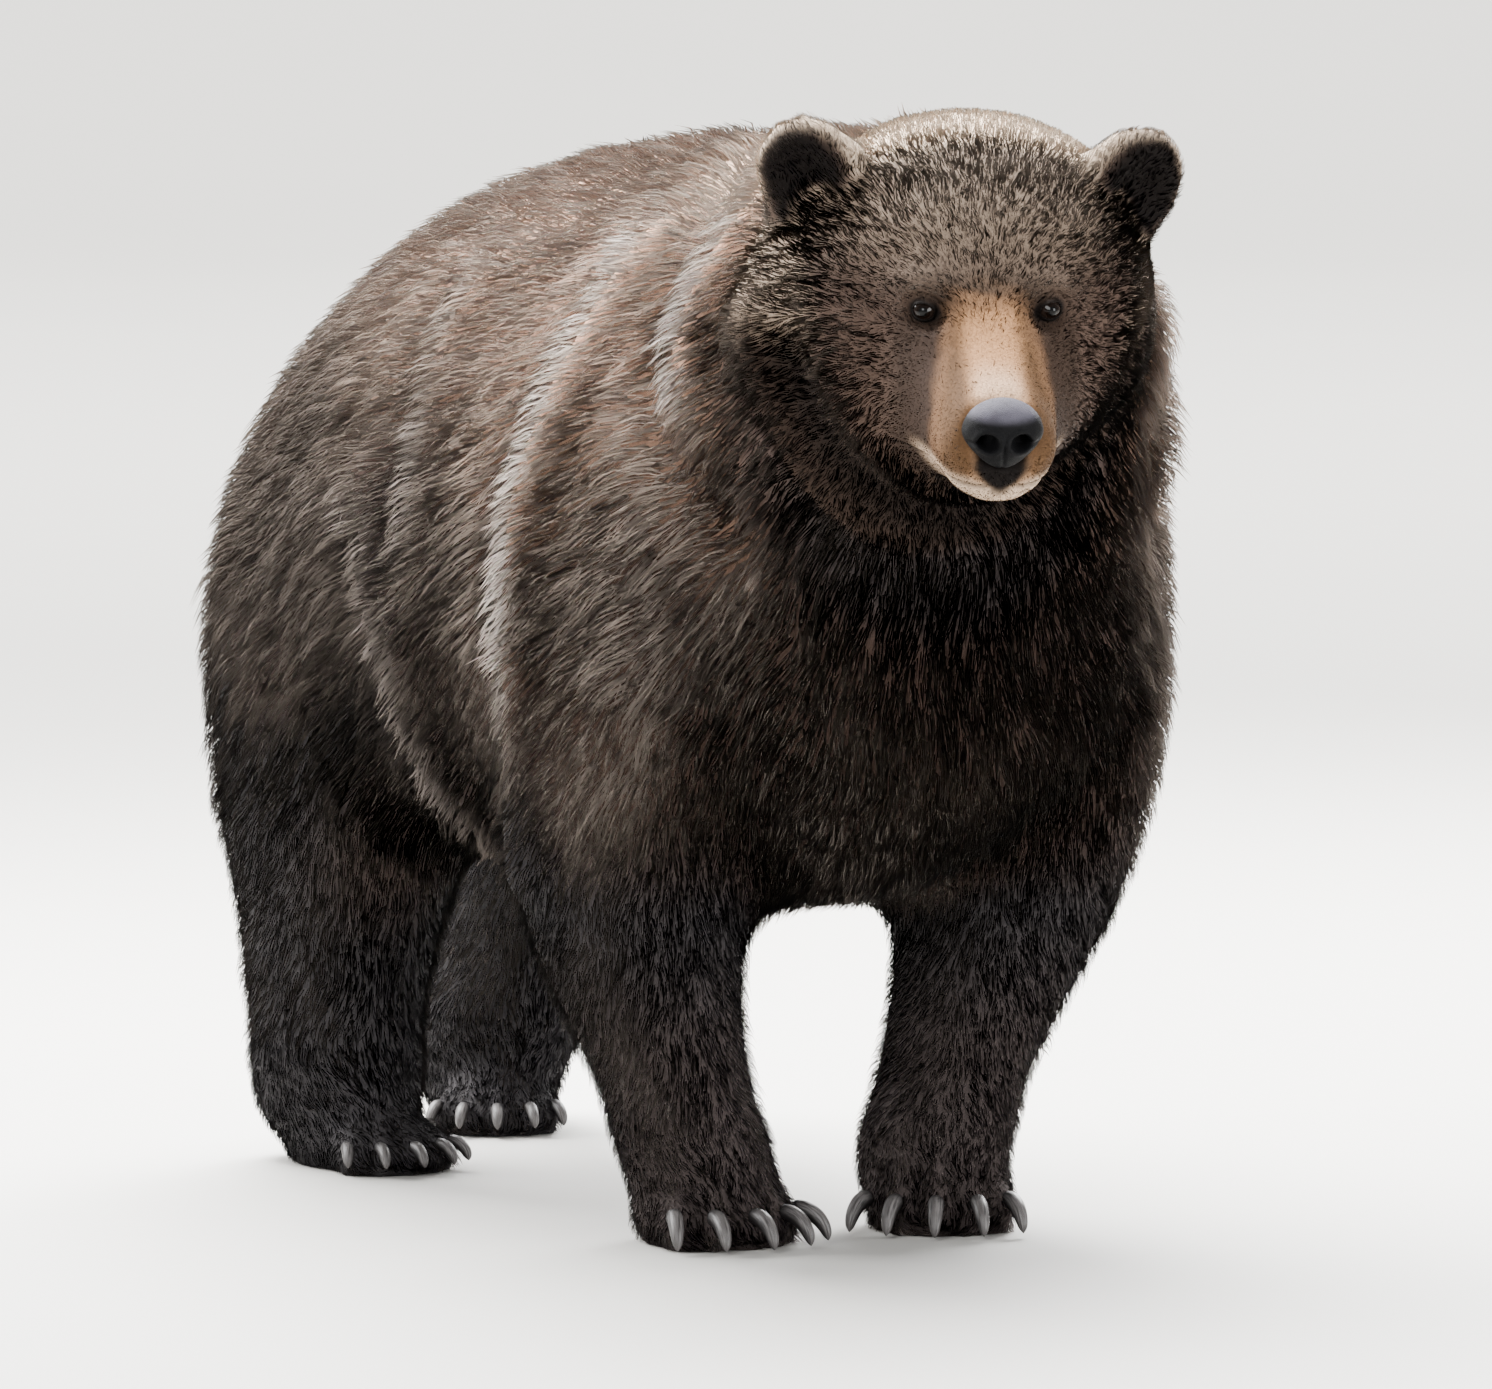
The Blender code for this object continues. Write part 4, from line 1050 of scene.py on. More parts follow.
def build_coat(skin, sizes, material):
    """Tufts over the whole skin, in pieces, leaning together in locks: guard hair over underfur."""
    mesh = skin.data
    points, normals = read(mesh.vertices, "co"), normals_of(mesh)
    names = ("depth", "length", "width", "guard_space", "under_space", "lie")
    fields = {k: kept_values(mesh, k) for k in names}
    marks = {k: kept_values(mesh, k) for k in ("marks_body", "marks_face", "marks_more")}
    part = kept_values(mesh, "part").astype(int)
    triangles = triangles_of(mesh)
    corners = points[triangles]
    area = np.linalg.norm(np.cross(corners[:, 1] - corners[:, 0], corners[:, 2] - corners[:, 0]), axis=1) / 2
    bare = np.maximum(bareness(points), soles(points, normals))
    furred = area * (1 - bare[triangles].mean(1))
    kinds = np.array([kind_of_part(n) for n in FLESH])[part[triangles[:, 0]]]
    made = []
    for layer, rings, share in (("guard", GUARD_RINGS, 1.0), ("under", UNDER_RINGS, UNDER_SHARE)):
        faces = 6 * len(rings) - 2
        amount = furred / fields[f"{layer}_space"][triangles].mean(1) ** 2
        for label, slot, mine in split_evenly(triangles, kinds, amount, points, PIECE_TRIANGLES / faces):
            draw = np.random.default_rng(SEED + len(made))
            face, weights = roots_on(mine, amount[mine], draw)
            chosen = triangles[mine][face]

            def at_root(values):
                picked = values[chosen]
                shape = weights if values.ndim == 1 else weights[:, :, None]
                return (picked * shape).sum(1)

            root = at_root(points)
            normal = unit(at_root(normals))
            flow = at_root(fields["lie"])
            flow = unit(flow - normal * (flow * normal).sum(1, keepdims=True))
            across = np.cross(flow, normal)
            length = at_root(fields["length"]) * sizes.length_scale * share
            depth = at_root(fields["depth"]) * share
            width = at_root(fields["width"]) * sizes.width_scale
            count = len(root)
            leaders, lock = locks_of(root, sizes.lock_tufts, draw)
            lock_draw = draw.normal(size=(len(leaders), 3))

            # the way each tuft lies, its length and how far it stands off
            short = smoothstep(*SHORT_HAIR, length)
            sway = 0.16 * ripple(root, 0.09, 11) + 0.30 * short * ripple(root, 0.028, 12)
            sway += 0.10 * lock_draw[lock, 0] + 0.09 * draw.normal(size=count)
            way = flow * np.cos(sway)[:, None] + across * np.sin(sway)[:, None]
            side = np.cross(way, normal)
            length = length * (1 + 0.12 * lock_draw[lock, 1]) * draw.uniform(0.72, 1.12, count)
            crown = at_root(marks["marks_face"])[:, 0] * smoothstep(0.030, 0.018, length)
            lift = np.clip(depth / np.maximum(length, 1e-4), 0, 0.48 + 0.35 * crown)
            lift = lift * (1 + 0.13 * lock_draw[lock, 2] + 0.15 * draw.normal(size=count))

            # its middle line: steeper at first, then flatter, with the tip drawn down and to its lock's
            steep, flat = np.clip(1.35 * lift, 0.05, 0.85), np.clip(0.65 * lift, -0.05, 0.6)
            base = root - normal * 0.002
            rising = way * np.sqrt(1 - steep**2)[:, None] + normal * steep[:, None]
            middle = root + rising * length[:, None] * 0.5
            reach = way * np.sqrt(1 - flat**2)[:, None] + normal * flat[:, None]
            tip = middle + reach * length[:, None] * 0.5
            tip[:, 2] -= length * 0.05
            tip += LEAN * (tip[leaders][lock] - tip)
            middle += LEAN * 0.35 * (middle[leaders][lock] - middle)
            centres = (base, middle, tip) if len(rings) > 1 else (base, tip)
            for centre in centres:
                centre[:, 0] = np.clip(centre[:, 0], -WIDEST, WIDEST)
                centre[:, 2] = np.maximum(centre[:, 2], 0.5 * width + 0.0005)
            rise = unit(np.cross(side, unit(tip - base)))

            # its own lightness, which of the tufts turn pale, and the marks at its root
            alike = 0.45 + 0.35 * short
            shade = alike * lock_draw[lock, 1] + (1 - alike) * draw.normal(size=count)
            shade += (1 - short) * (0.55 * ripple(root, 0.060, 13) + 0.35 * ripple(root, 0.16, 14))
            values = {
                "shade": np.clip(0.5 + 0.22 * shade, 0, 1),
                "pick": 0.6 * draw.random(len(leaders))[lock] + 0.4 * draw.random(count),
            }
            values.update({k: np.clip(at_root(v), 0, 1) for k, v in marks.items()})
            pattern = unwrapped(mesh, triangles[mine])[face]
            uv_root = (pattern * weights[:, :, None]).sum(1)
            softness = SOFTNESS[0] + (SOFTNESS[1] - SOFTNESS[0]) * short - 0.55 * crown
            frames = (side, rise, normal)
            coat = coat_mesh(f"{layer}_{label}", rings, centres, width, softness, frames, uv_root, values)
            coat.materials.append(material)
            made.append((new_object(coat.name, coat), slot))
    return made


def bareness(points):
    """Where no tuft grows: the nose, the eyes with their rims, and the lips."""
    head = in_head(points)
    nose = np.linalg.norm((head - np.array(NOSE_AT)) / (np.array(NOSE_RADII) * 1.06), axis=1)
    bare = smoothstep(1.06, 1.0, nose)
    for side in SIDES.values():
        depth, opening = opening_of_eye(head, side)
        bare = np.maximum(bare, smoothstep(1.55, 1.35, opening) * (depth > -0.012) * (depth < 0.03))
    return bare


# ---------------------------------------------------------------- materials
HAIR_ROOT = srgb("120D0A")  # hair is nearly black where no light reaches it


def new_material(name):
    material = bpy.data.materials.new(name)
    material.use_nodes = True
    shader = next(n for n in material.node_tree.nodes if n.type == "BSDF_PRINCIPLED")
    return material, material.node_tree, shader


def add(tree, kind, links=None, sockets=None, **settings):
    """Adds a node: settings are its properties, sockets its input values, links its inputs' sources."""
    node = tree.nodes.new(kind)
    for key, value in settings.items():
        setattr(node, key, value)
    for key, value in (sockets or {}).items():
        node.inputs[key].default_value = value
    for key, source in (links or {}).items():
        tree.links.new(source, node.inputs[key])
    return node


def mixed(tree, share, first, second):
    """Output of a colour mix: first where share is 0, second where it is 1. Each may be a colour or a socket."""
    node = tree.nodes.new("ShaderNodeMix")
    node.data_type = "RGBA"
    for socket, value in ((node.inputs["Factor"], share), (node.inputs[6], first), (node.inputs[7], second)):
        if isinstance(value, bpy.types.NodeSocket):
            tree.links.new(value, socket)
        elif isinstance(value, (int, float)):
            socket.default_value = value
        else:
            socket.default_value = (*value, 1)
    return node.outputs[2]


def ramp(tree, value, low, high, start=0.0, end=1.0):
    """A value mapped smoothly from low..high to start..end."""
    node = add(
        tree,
        "ShaderNodeMapRange",
        {"Value": value},
        {"From Min": low, "From Max": high, "To Min": start, "To Max": end},
        interpolation_type="SMOOTHSTEP",
    )
    return node.outputs[0]


def maths(tree, operation, first, second=0.0):
    node = tree.nodes.new("ShaderNodeMath")
    node.operation = operation
    for socket, value in zip(node.inputs, (first, second)):
        if isinstance(value, bpy.types.NodeSocket):
            tree.links.new(value, socket)
        else:
            socket.default_value = value
    return node.outputs[0]


def attribute(tree, name, part="Fac"):
    return add(tree, "ShaderNodeAttribute", attribute_name=name).outputs[part]


def marked_fur(tree, colours):
    """The coat's colour at a place on the body, painted light and shade included, before the change from root to
    tip: colour and pale tips.
    """
    channels = []
    for name in ("marks_body", "marks_face", "marks_more"):
        split = add(tree, "ShaderNodeSeparateXYZ", {"Vector": attribute(tree, name, "Vector")})
        channels += split.outputs
    warm, leg, frost_and_light, crown, tan, chin, dark, head, painted_highlight = channels
    colour = mixed(tree, warm, colours.fur_deep, colours.fur_warm)
    colour = mixed(tree, head, colour, colours.fur_face)
    colour = mixed(tree, leg, colour, mixed(tree, head, colours.fur_leg, colours.fur_shade))
    colour = mixed(tree, crown, colour, colours.fur_crown)
    # the muzzle's browner sides are partly painted shade
    muzzle = mixed(tree, warm, colours.fur_muzzle, colours.fur_side)
    colour = mixed(tree, tan, colour, muzzle)
    # the chin mark also brings the painted highlight down the muzzle's front
    colour = mixed(tree, chin, colour, colours.fur_chin)
    colour = mixed(tree, dark, colour, colours.fur_dark)
    bright = maths(tree, "MULTIPLY", frost_and_light, maths(tree, "SUBTRACT", 1.0, dark))
    tip = mixed(tree, head, colours.fur_frost_and_highlight, colours.fur_tip)
    tip = mixed(tree, crown, tip, colours.fur_crown)
    tip = mixed(tree, maths(tree, "SUBTRACT", leg, head), tip, colours.fur_leg_tips)
    matt = maths(tree, "MAXIMUM", maths(tree, "MAXIMUM", leg, dark), maths(tree, "MULTIPLY", head, 0.9))
    plain = maths(tree, "MAXIMUM", maths(tree, "MAXIMUM", tan, painted_highlight), maths(tree, "MULTIPLY", leg, 0.85))
    plain = maths(tree, "MAXIMUM", plain, maths(tree, "MAXIMUM", maths(tree, "MULTIPLY", head, 0.75), crown))
    return colour, bright, plain, tip, matt, painted_highlight


def coat_material(colours):
    """Guard hair over underfur: matt, dark at the root, with pale dry tips that catch the light from behind."""
    material, tree, shader = new_material("bear_guard_hair")
    colour, frost_and_light, plain, tip, deep, painted_highlight = marked_fur(tree, colours)
    along = attribute(tree, "along")
    pick = attribute(tree, "pick")
    shade = attribute(tree, "shade")
    root = mixed(tree, ramp(tree, plain, 0, 1, 0.70, 0.05), colour, HAIR_ROOT)
    hair = mixed(tree, ramp(tree, along, 0.0, 0.45), root, colour)
    chosen = ramp(tree, maths(tree, "SUBTRACT", frost_and_light, pick), -0.15, 0.35, 0, 0.9)
    # painted highlight: the tips along the folds' lips turn pale
    lit = maths(tree, "MULTIPLY", ramp(tree, painted_highlight, 0.05, 0.6), ramp(tree, along, 0.1, 0.5))
    pale = maths(tree, "MULTIPLY", ramp(tree, along, 0.15, 0.75), chosen)
    hair = mixed(tree, maths(tree, "MAXIMUM", pale, lit), hair, tip)
    even = maths(tree, "SUBTRACT", 1.0, maths(tree, "MULTIPLY", plain, 0.8))
    value = maths(tree, "MULTIPLY", maths(tree, "SUBTRACT", ramp(tree, shade, 0, 1, 0.36, 1.60), 1.0), even)
    bright = add(tree, "ShaderNodeHueSaturation", {"Color": hair, "Value": maths(tree, "ADD", value, 1.0)})
    tree.links.new(bright.outputs[0], shader.inputs["Base Color"])
    shader.inputs["Roughness"].default_value = 0.62
    tree.links.new(ramp(tree, deep, 0, 1, 0.30, 0.08), shader.inputs["Specular IOR Level"])
    tree.links.new(ramp(tree, deep, 0, 1, 0.25, 0.03), shader.inputs["Sheen Weight"])
    shader.inputs["Sheen Roughness"].default_value = 0.40
    shader.inputs["Sheen Tint"].default_value = (*srgb("F0DCCB"), 1)
    return material


def skin_material(colours):
    """Hide and underfur seen between the tufts: matt, darker than the tips, with a fine hairy grain."""
    material, tree, shader = new_material("bear_hide")
    colour, _, plain, *_ = marked_fur(tree, colours)
    place = add(tree, "ShaderNodeTexCoord").outputs["Object"]
    grain = add(tree, "ShaderNodeTexNoise", {"Vector": place}, {"Scale": 420.0, "Detail": 3.0, "Roughness": 0.6})
    dark = mixed(tree, ramp(tree, plain, 0, 1, 0.50, 0.0), colour, HAIR_ROOT)
    value = ramp(tree, grain.outputs[0], 0.3, 0.7, 0.75, 1.25)
    tone = add(tree, "ShaderNodeHueSaturation", {"Color": dark, "Value": value})
    bump = add(tree, "ShaderNodeBump", {"Height": grain.outputs[0]}, {"Strength": 0.5, "Distance": 0.0012})
    tree.links.new(tone.outputs[0], shader.inputs["Base Color"])
    tree.links.new(bump.outputs[0], shader.inputs["Normal"])
    shader.inputs["Roughness"].default_value = 0.75
    shader.inputs["Specular IOR Level"].default_value = 0.05
    return material


def leather_material(colours):
    """Moist, pebbled bare skin: near black, with a broad soft gloss broken by its fine cells, and a painted grey
    reflection in patches on its top.
    """
    material, tree, shader = new_material("nose_leather")
    place = add(tree, "ShaderNodeTexCoord").outputs["Object"]
    cells = add(tree, "ShaderNodeTexVoronoi", {"Vector": place}, {"Scale": 560.0}, feature="DISTANCE_TO_EDGE")
    patches = add(tree, "ShaderNodeTexNoise", {"Vector": place}, {"Scale": 60.0, "Detail": 3.0})
    # painted reflection: the top of the pad is greyed in patches, standing for the light it reflects
    painted_sheen = maths(tree, "MULTIPLY", attribute(tree, "upper"), ramp(tree, patches.outputs[0], 0.25, 0.7, 0.7, 1.0))
    tone = mixed(tree, painted_sheen, colours.nose, srgb("44424A"))
    bump = add(
        tree,
        "ShaderNodeBump",
        {"Height": ramp(tree, cells.outputs["Distance"], 0.0, 0.35)},
        {"Strength": 0.55, "Distance": 0.0006},
    )
    tree.links.new(tone, shader.inputs["Base Color"])
    tree.links.new(bump.outputs[0], shader.inputs["Normal"])
    tree.links.new(ramp(tree, patches.outputs[0], 0.3, 0.7, 0.50, 0.62), shader.inputs["Roughness"])
    shader.inputs["Specular IOR Level"].default_value = 0.05
    return material


def horn_material(colours):
    """Keratin smoothed by use: dark at the root and sides, paler and lengthwise streaked along the top."""
    material, tree, shader = new_material("claw_horn")
    along = attribute(tree, "along")
    top = attribute(tree, "top")
    streak = attribute(tree, "grain", "Vector")
    lines = add(tree, "ShaderNodeTexNoise", {"Vector": streak}, {"Scale": 1.0, "Detail": 4.0, "Roughness": 0.6})
    pale = maths(tree, "MULTIPLY", ramp(tree, along, 0.0, 0.35), ramp(tree, top, -0.2, 0.7))
    pale = maths(tree, "MULTIPLY", pale, ramp(tree, lines.outputs[0], 0.35, 0.65, 0.15, 1.0))
    tone = mixed(tree, pale, colours.claw_dark, colours.claw)
    bump = add(tree, "ShaderNodeBump", {"Height": lines.outputs[0]}, {"Strength": 0.25, "Distance": 0.0006})
    tree.links.new(tone, shader.inputs["Base Color"])
    tree.links.new(bump.outputs[0], shader.inputs["Normal"])
    shader.inputs["Roughness"].default_value = 0.45
    shader.inputs["Specular IOR Level"].default_value = 0.25
    return material


def eye_material(colours):
    """Wet cornea over a brown iris: a black pupil, a darker ring at the iris's edge and a sharp highlight."""
    material, tree, shader = new_material("eye_cornea")
    gaze = attribute(tree, "gaze")
    tone = mixed(tree, ramp(tree, gaze, 0.34, 0.42), srgb("070707"), colours.iris)
    tone = mixed(tree, ramp(tree, gaze, 0.56, 0.66), tone, srgb("16100D"))
    tree.links.new(tone, shader.inputs["Base Color"])
    shader.inputs["Roughness"].default_value = 0.04
    shader.inputs["Specular IOR Level"].default_value = 0.12
    return material


def floor_material(colours):
    """Smooth painted board: matt and pale, with a barely visible unevenness."""
    material, tree, shader = new_material("stage_paint")
    place = add(tree, "ShaderNodeTexCoord").outputs["Object"]
    cloud = add(tree, "ShaderNodeTexNoise", {"Vector": place}, {"Scale": 0.8, "Detail": 2.0})
    tone = mixed(tree, ramp(tree, cloud.outputs[0], 0.3, 0.7, 0, 0.25), colours.floor, srgb("A09E99"))
    tree.links.new(tone, shader.inputs["Base Color"])
    shader.inputs["Roughness"].default_value = 0.7
    return material


# ---------------------------------------------------------------- eyes, nose and claws
def build_eye(side_name):
    """An eyeball with its cornea, looking ahead; its gaze is the angle from its middle."""
    side = SIDES[side_name]
    centre, _, _, forward = eye_axes(side)
    deselect()
    bpy.ops.mesh.primitive_uv_sphere_add(segments=48, ring_count=32, radius=EYE_RADIUS)
    obj = bpy.context.object
    obj.name = f"eyeball_{side_name}"
    mesh = obj.data
    points = read(mesh.vertices, "co")
    angle = np.arccos(np.clip(points[:, 2] / EYE_RADIUS, -1, 1))
    points[:, 2] += 0.0012 * smoothstep(0.62, 0.15, angle)  # the cornea
    keep_values(mesh, "gaze", angle)
    turn = Vector((0, 0, 1)).rotation_difference(Vector(forward)).to_matrix()
    points = points @ np.array(turn).T + centre
    put_points(mesh, out_of_head(points))
    choose(obj)
    bpy.ops.object.shade_smooth()
    return obj


def build_nose():
    """The nose leather: a rounded pad, narrower below, with two forward nostrils slit to the sides."""
    deselect()
    bpy.ops.mesh.primitive_uv_sphere_add(segments=128, ring_count=96, radius=1)
    obj = bpy.context.object
    obj.name = "nose_leather"
    mesh = obj.data
    ball = read(mesh.vertices, "co") @ np.array([[1, 0, 0], [0, 0, 1], [0, -1, 0]])  # a pole looks ahead
    shaped = ball.copy()
    shaped[:, 0] *= 1 - 0.30 * smoothstep(0.15, -1.0, ball[:, 2])
    shaped[:, 1] -= 0.10 * smoothstep(0.2, 0.9, ball[:, 2]) * smoothstep(0, -1, ball[:, 1])
    front = smoothstep(0.0, -0.35, ball[:, 1])
    across = np.abs(shaped[:, 0])
    hole = np.hypot((across - 0.40) / 0.25, (shaped[:, 2] + 0.05) / 0.26)
    slit = bell(shaped[:, 2] + 0.10 + 0.35 * (across - 0.62), 0.075)
    slit = slit * smoothstep(0.40, 0.52, across) * smoothstep(0.98, 0.80, across)
    philtrum = bell(shaped[:, 0], 0.045) * smoothstep(0.0, -0.3, shaped[:, 2])
    pit = 0.60 * smoothstep(1.15, 0.55, hole) + 0.22 * slit + 0.09 * philtrum
    rim = 0.06 * bell(hole - 1.35, 0.28)
    shaped[:, 1] += front * (pit - rim)
    # the top of the pad, where the painted grey reflection goes
    keep_values(mesh, "upper", smoothstep(0.42, 0.72, ball[:, 2]))
    shaped = shaped * np.array(NOSE_RADII) + np.array(NOSE_AT)
    put_points(mesh, out_of_head(shaped))
    choose(obj)
    bpy.ops.object.shade_smooth()
    return obj


def build_claw(kind, side_name, index, width):
    """A curved horn: flat-sided, ridged along the top, narrowing to a blunt tip just over the floor."""
    size = PAW_SIZE[kind]
    place, heading = list(toe_places(kind))[index]
    root = place + Matrix.Rotation(heading, 3, "Z") @ Vector((0, -size["toe"] * 0.60, size["toe"] * 0.50))
    half = width / 2 * (1.0 if kind == "fore" else HIND_CLAW_WIDTH)
    sweep = (size["claw"] * CLAW_SHARE + size["toe"] * CLAW_TOE_SHARE) / CLAW_CURL
    points, along_all, top_all, grain_all = [], [], [], []
    for i in range(CLAW_RINGS):
        along = i / (CLAW_RINGS - 1)
        turn = CLAW_CURL * along - CLAW_RISE
        lead = -sweep * (math.sin(turn) + math.sin(CLAW_RISE))
        centre = Vector((0, lead, -sweep * (math.cos(CLAW_RISE) - math.cos(turn))))
        up = Vector((0, -math.sin(turn), math.cos(turn)))
        taper = math.sqrt(max(0.0, 1 - along**3.6)) * 0.86 + 0.14 * (1 - along)
        for k in range(CLAW_SIDES):
            angle = 2 * math.pi * k / CLAW_SIDES
            wide = math.copysign(abs(math.sin(angle)) ** 0.85, math.sin(angle)) * half * taper
            tall = math.cos(angle) * half * 1.15 * taper * (1.0 if math.cos(angle) > 0 else 0.80)
            points.append(centre + Vector((wide, 0, 0)) + up * tall)
            along_all.append(along)
            top_all.append(math.cos(angle))
            grain_all.append((angle * 4.0, along * 3.0, index * 7.0))
    faces = []
    for i in range(CLAW_RINGS - 1):
        for k in range(CLAW_SIDES):
            a, b = i * CLAW_SIDES + k, i * CLAW_SIDES + (k + 1) % CLAW_SIDES
            faces.append((a, a + CLAW_SIDES, b + CLAW_SIDES, b))
    faces.append(tuple(range(CLAW_SIDES)))
    faces.append(tuple(range(len(points) - 1, len(points) - 1 - CLAW_SIDES, -1)))
    lowest = min(p.z for p in points)
    squeeze = min(1.0, (root.z - PAW_SINK - CLAW_CLEARANCE) / -lowest)
    x, y, turn_in = PAWS[(kind, side_name)]
    matrix = (
        Matrix.Translation((x, y, -PAW_SINK))
        @ Matrix.Rotation(-SIDES[side_name] * turn_in, 4, "Z")
        @ Matrix.Translation(root)
        @ Matrix.Rotation(heading, 4, "Z")
        @ Matrix.Diagonal((1, 1, squeeze, 1))
    )
    mesh = bpy.data.meshes.new(f"claw_horn_{kind}_{side_name}_{index + 1}")
    mesh.from_pydata([matrix @ p for p in points], [], faces)
    for key, values in (("along", along_all), ("top", top_all), ("grain", grain_all)):
        keep_values(mesh, key, np.array(values))
    obj = new_object(mesh.name, mesh)
    choose(obj)
    bpy.ops.object.mode_set(mode="EDIT")
    bpy.ops.mesh.select_all(action="SELECT")
    bpy.ops.mesh.normals_make_consistent(inside=False)
    bpy.ops.object.mode_set(mode="OBJECT")
    finish_modifier(obj, "SUBSURF", levels=1, render_levels=1)
    choose(obj)
    bpy.ops.object.shade_smooth()
    return obj


# ---------------------------------------------------------------- stage
def look_at(obj, place, target):
    obj.location = place
    obj.rotation_euler = (target - place).to_track_quat("-Z", "Y").to_euler()


def add_lamp(name, place, target, power, size):
    lamp = bpy.data.objects.new(name, bpy.data.lights.new(name, "AREA"))
    bpy.context.scene.collection.objects.link(lamp)
    lamp.data.energy = power
    lamp.data.size = size
    look_at(lamp, place, target)


def build_floor(colours):
    """A floor that bends up into a backdrop behind the bear, square to the view."""
    deselect()
    bpy.ops.mesh.primitive_plane_add(size=1)
    floor = bpy.context.object
    floor.name = "stage_floor"
    mesh = floor.data
    rows = [(-FLOOR_DEPTH, 0.0), (FLOOR_DEPTH - BACKDROP_BEND, 0.0)]
    for k in range(1, BEND_STEPS + 1):
        angle = math.pi / 2 * k / BEND_STEPS
        back = FLOOR_DEPTH - BACKDROP_BEND + BACKDROP_BEND * math.sin(angle)
        rows.append((back, BACKDROP_BEND - BACKDROP_BEND * math.cos(angle)))
    rows.append((FLOOR_DEPTH, BACKDROP_HEIGHT))
    points = [(x, y, z) for y, z in rows for x in (-FLOOR_HALF_WIDTH, FLOOR_HALF_WIDTH)]
    faces = [(2 * k, 2 * k + 1, 2 * k + 3, 2 * k + 2) for k in range(len(rows) - 1)]
    mesh.clear_geometry()
    mesh.from_pydata(points, [], faces)
    mesh.transform(Matrix.Rotation(VIEW_AZIMUTH, 4, "Z"))
    mesh.materials.append(floor_material(colours))
    choose(floor)
    bpy.ops.object.shade_smooth()


def build_stage(colours):
    """The floor, the camera, the soft lamps and the sky."""
    build_floor(colours)
    camera = bpy.data.objects.new("camera", bpy.data.cameras.new("camera"))
    bpy.context.scene.collection.objects.link(camera)
    camera.data.lens = LENS
    camera.data.sensor_width = SENSOR
    camera.data.clip_end = 200
    level = math.cos(VIEW_ELEVATION)
    away = Vector((math.sin(VIEW_AZIMUTH) * level, -math.cos(VIEW_AZIMUTH) * level, math.sin(VIEW_ELEVATION)))
    look_at(camera, VIEW_TARGET + away * VIEW_DISTANCE, VIEW_TARGET)
    bpy.context.scene.camera = camera

    for name, (place, power, size) in LAMPS.items():
        add_lamp(name, Vector(place), LIT_PLACE, power, size)
    world = bpy.data.worlds.new("studio")
    bpy.context.scene.world = world
    world.use_nodes = True
    background = next(n for n in world.node_tree.nodes if n.type == "BACKGROUND")
    background.inputs["Color"].default_value = SKY
    background.inputs["Strength"].default_value = SKY_STRENGTH
    place, target, power, size = BACKDROP_LAMP
    behind = Matrix.Rotation(VIEW_AZIMUTH, 3, "Z")
    add_lamp("light_backdrop", behind @ Vector(place), behind @ Vector(target), power, size)


# ---------------------------------------------------------------- operators and panel
class BearOperator:
    bl_options = {"REGISTER", "UNDO"}

    def settings(self, context):
        return context.scene.bear_sizes, context.scene.bear_colours


class BEAR_OT_skin(BearOperator, bpy.types.Operator):
    """Build the skin that stands for all the flesh of the body"""

    bl_idname = "bear.skin"
    bl_label = "Skin"

    def execute(self, context):
        _, colours = self.settings(context)
        obj = build_skin()
        obj.data.materials.append(skin_material(colours))
        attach(obj, "root")
        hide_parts(*FLESH)
        return {"FINISHED"}


class BEAR_OT_coat(BearOperator, bpy.types.Operator):
    """Grow the coat over the skin, in tufts that lie along the body"""

    bl_idname = "bear.coat"
    bl_label = "Coat"

    def execute(self, context):
        sizes, colours = self.settings(context)
        skin = bpy.data.objects.get("skin")
        if skin is None:
            raise RuntimeError("the coat grows on the skin: build the skin first")
        for obj, slot in build_coat(skin, sizes, coat_material(colours)):
            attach(obj, "root")
        return {"FINISHED"}


class BEAR_OT_eyes(BearOperator, bpy.types.Operator):
    """Set both eyeballs in their lids"""

    bl_idname = "bear.eyes"
    bl_label = "Eyes"

    def execute(self, context):
        _, colours = self.settings(context)
        material = eye_material(colours)
        for side in SIDES:
            obj = build_eye(side)
            obj.data.materials.append(material)
            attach(obj, "root")
            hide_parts(f"eye_{side}")
        return {"FINISHED"}


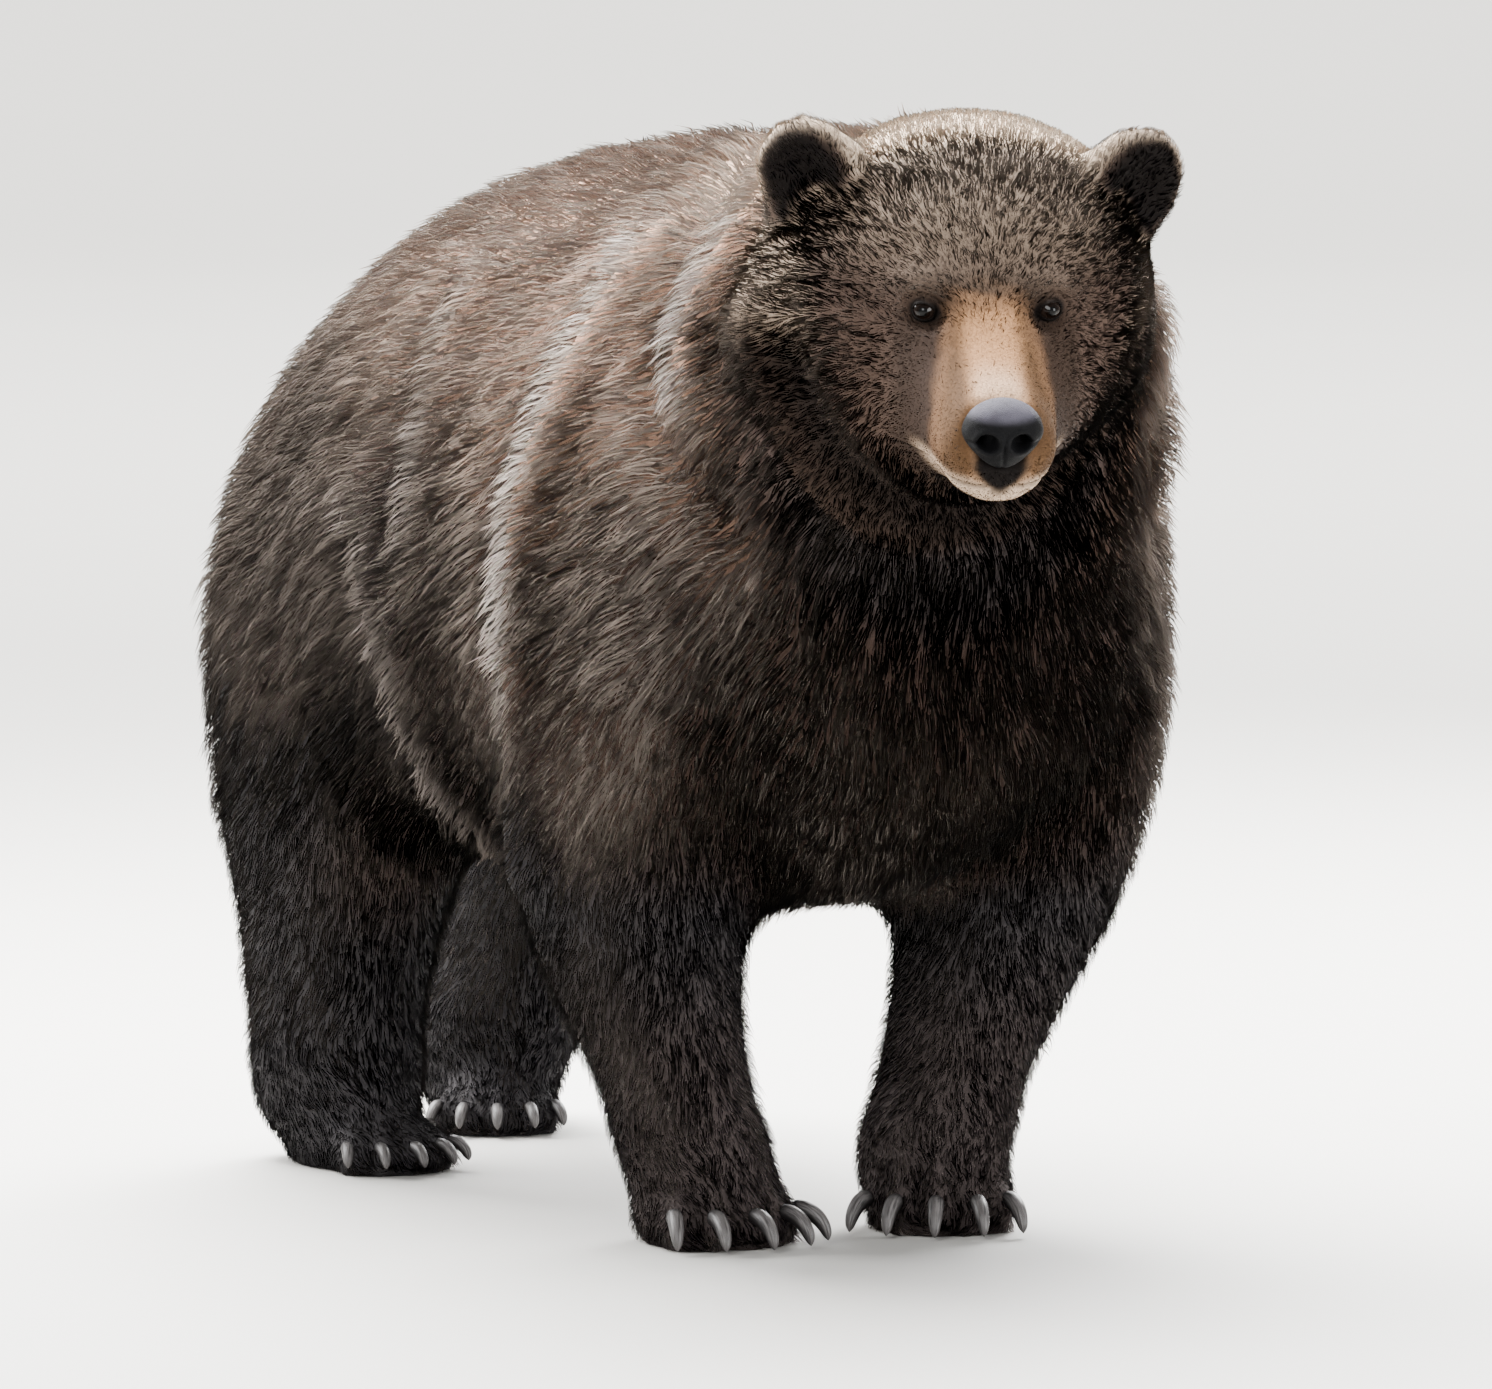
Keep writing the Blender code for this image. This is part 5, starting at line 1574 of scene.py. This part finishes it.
class BEAR_OT_nose(BearOperator, bpy.types.Operator):
    """Shape the nose leather with its nostrils"""

    bl_idname = "bear.nose"
    bl_label = "Nose"

    def execute(self, context):
        _, colours = self.settings(context)
        obj = build_nose()
        obj.data.materials.append(leather_material(colours))
        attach(obj, "root")
        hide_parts("nose")
        return {"FINISHED"}


class BEAR_OT_claws(BearOperator, bpy.types.Operator):
    """Shape the twenty claws"""

    bl_idname = "bear.claws"
    bl_label = "Claws"

    def execute(self, context):
        sizes, colours = self.settings(context)
        material = horn_material(colours)
        for kind, side in PAWS:
            for index in range(TOES):
                obj = build_claw(kind, side, index, sizes.claw_width)
                obj.data.materials.append(material)
                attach(obj, "root")
                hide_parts(f"claw_{kind}_{side}_{index + 1}")
        return {"FINISHED"}


class BEAR_OT_stage(BearOperator, bpy.types.Operator):
    """Set up the pale floor, the soft lights and the camera"""

    bl_idname = "bear.stage"
    bl_label = "Stage"

    def execute(self, context):
        _, colours = self.settings(context)
        build_stage(colours)
        return {"FINISHED"}


class BEAR_PT_panel(bpy.types.Panel):
    """Lists the steps that build the bear, with its sizes and colours"""

    bl_idname = "BEAR_PT_panel"
    bl_label = "Bear"
    bl_space_type = "VIEW_3D"
    bl_region_type = "UI"
    bl_category = "Bear"

    def draw(self, context):
        for group in (context.scene.bear_sizes, context.scene.bear_colours):
            for name in group.__annotations__:
                self.layout.prop(group, name)
        for operator in OPERATORS:
            self.layout.operator(operator.bl_idname)


OPERATORS = (BEAR_OT_skin, BEAR_OT_eyes, BEAR_OT_nose, BEAR_OT_claws, BEAR_OT_coat, BEAR_OT_stage)
CLASSES = (BearSizes, BearColours, *OPERATORS, BEAR_PT_panel)


def register():
    for cls in CLASSES:
        bpy.utils.register_class(cls)
    bpy.types.Scene.bear_sizes = bpy.props.PointerProperty(type=BearSizes)
    bpy.types.Scene.bear_colours = bpy.props.PointerProperty(type=BearColours)


def unregister():
    del bpy.types.Scene.bear_colours
    del bpy.types.Scene.bear_sizes
    for cls in reversed(CLASSES):
        bpy.utils.unregister_class(cls)


def main():
    register()
    for step in ("skin", "eyes", "nose", "claws", "coat", "stage"):
        getattr(bpy.ops.bear, step)()


if __name__ == "__main__":
    main()
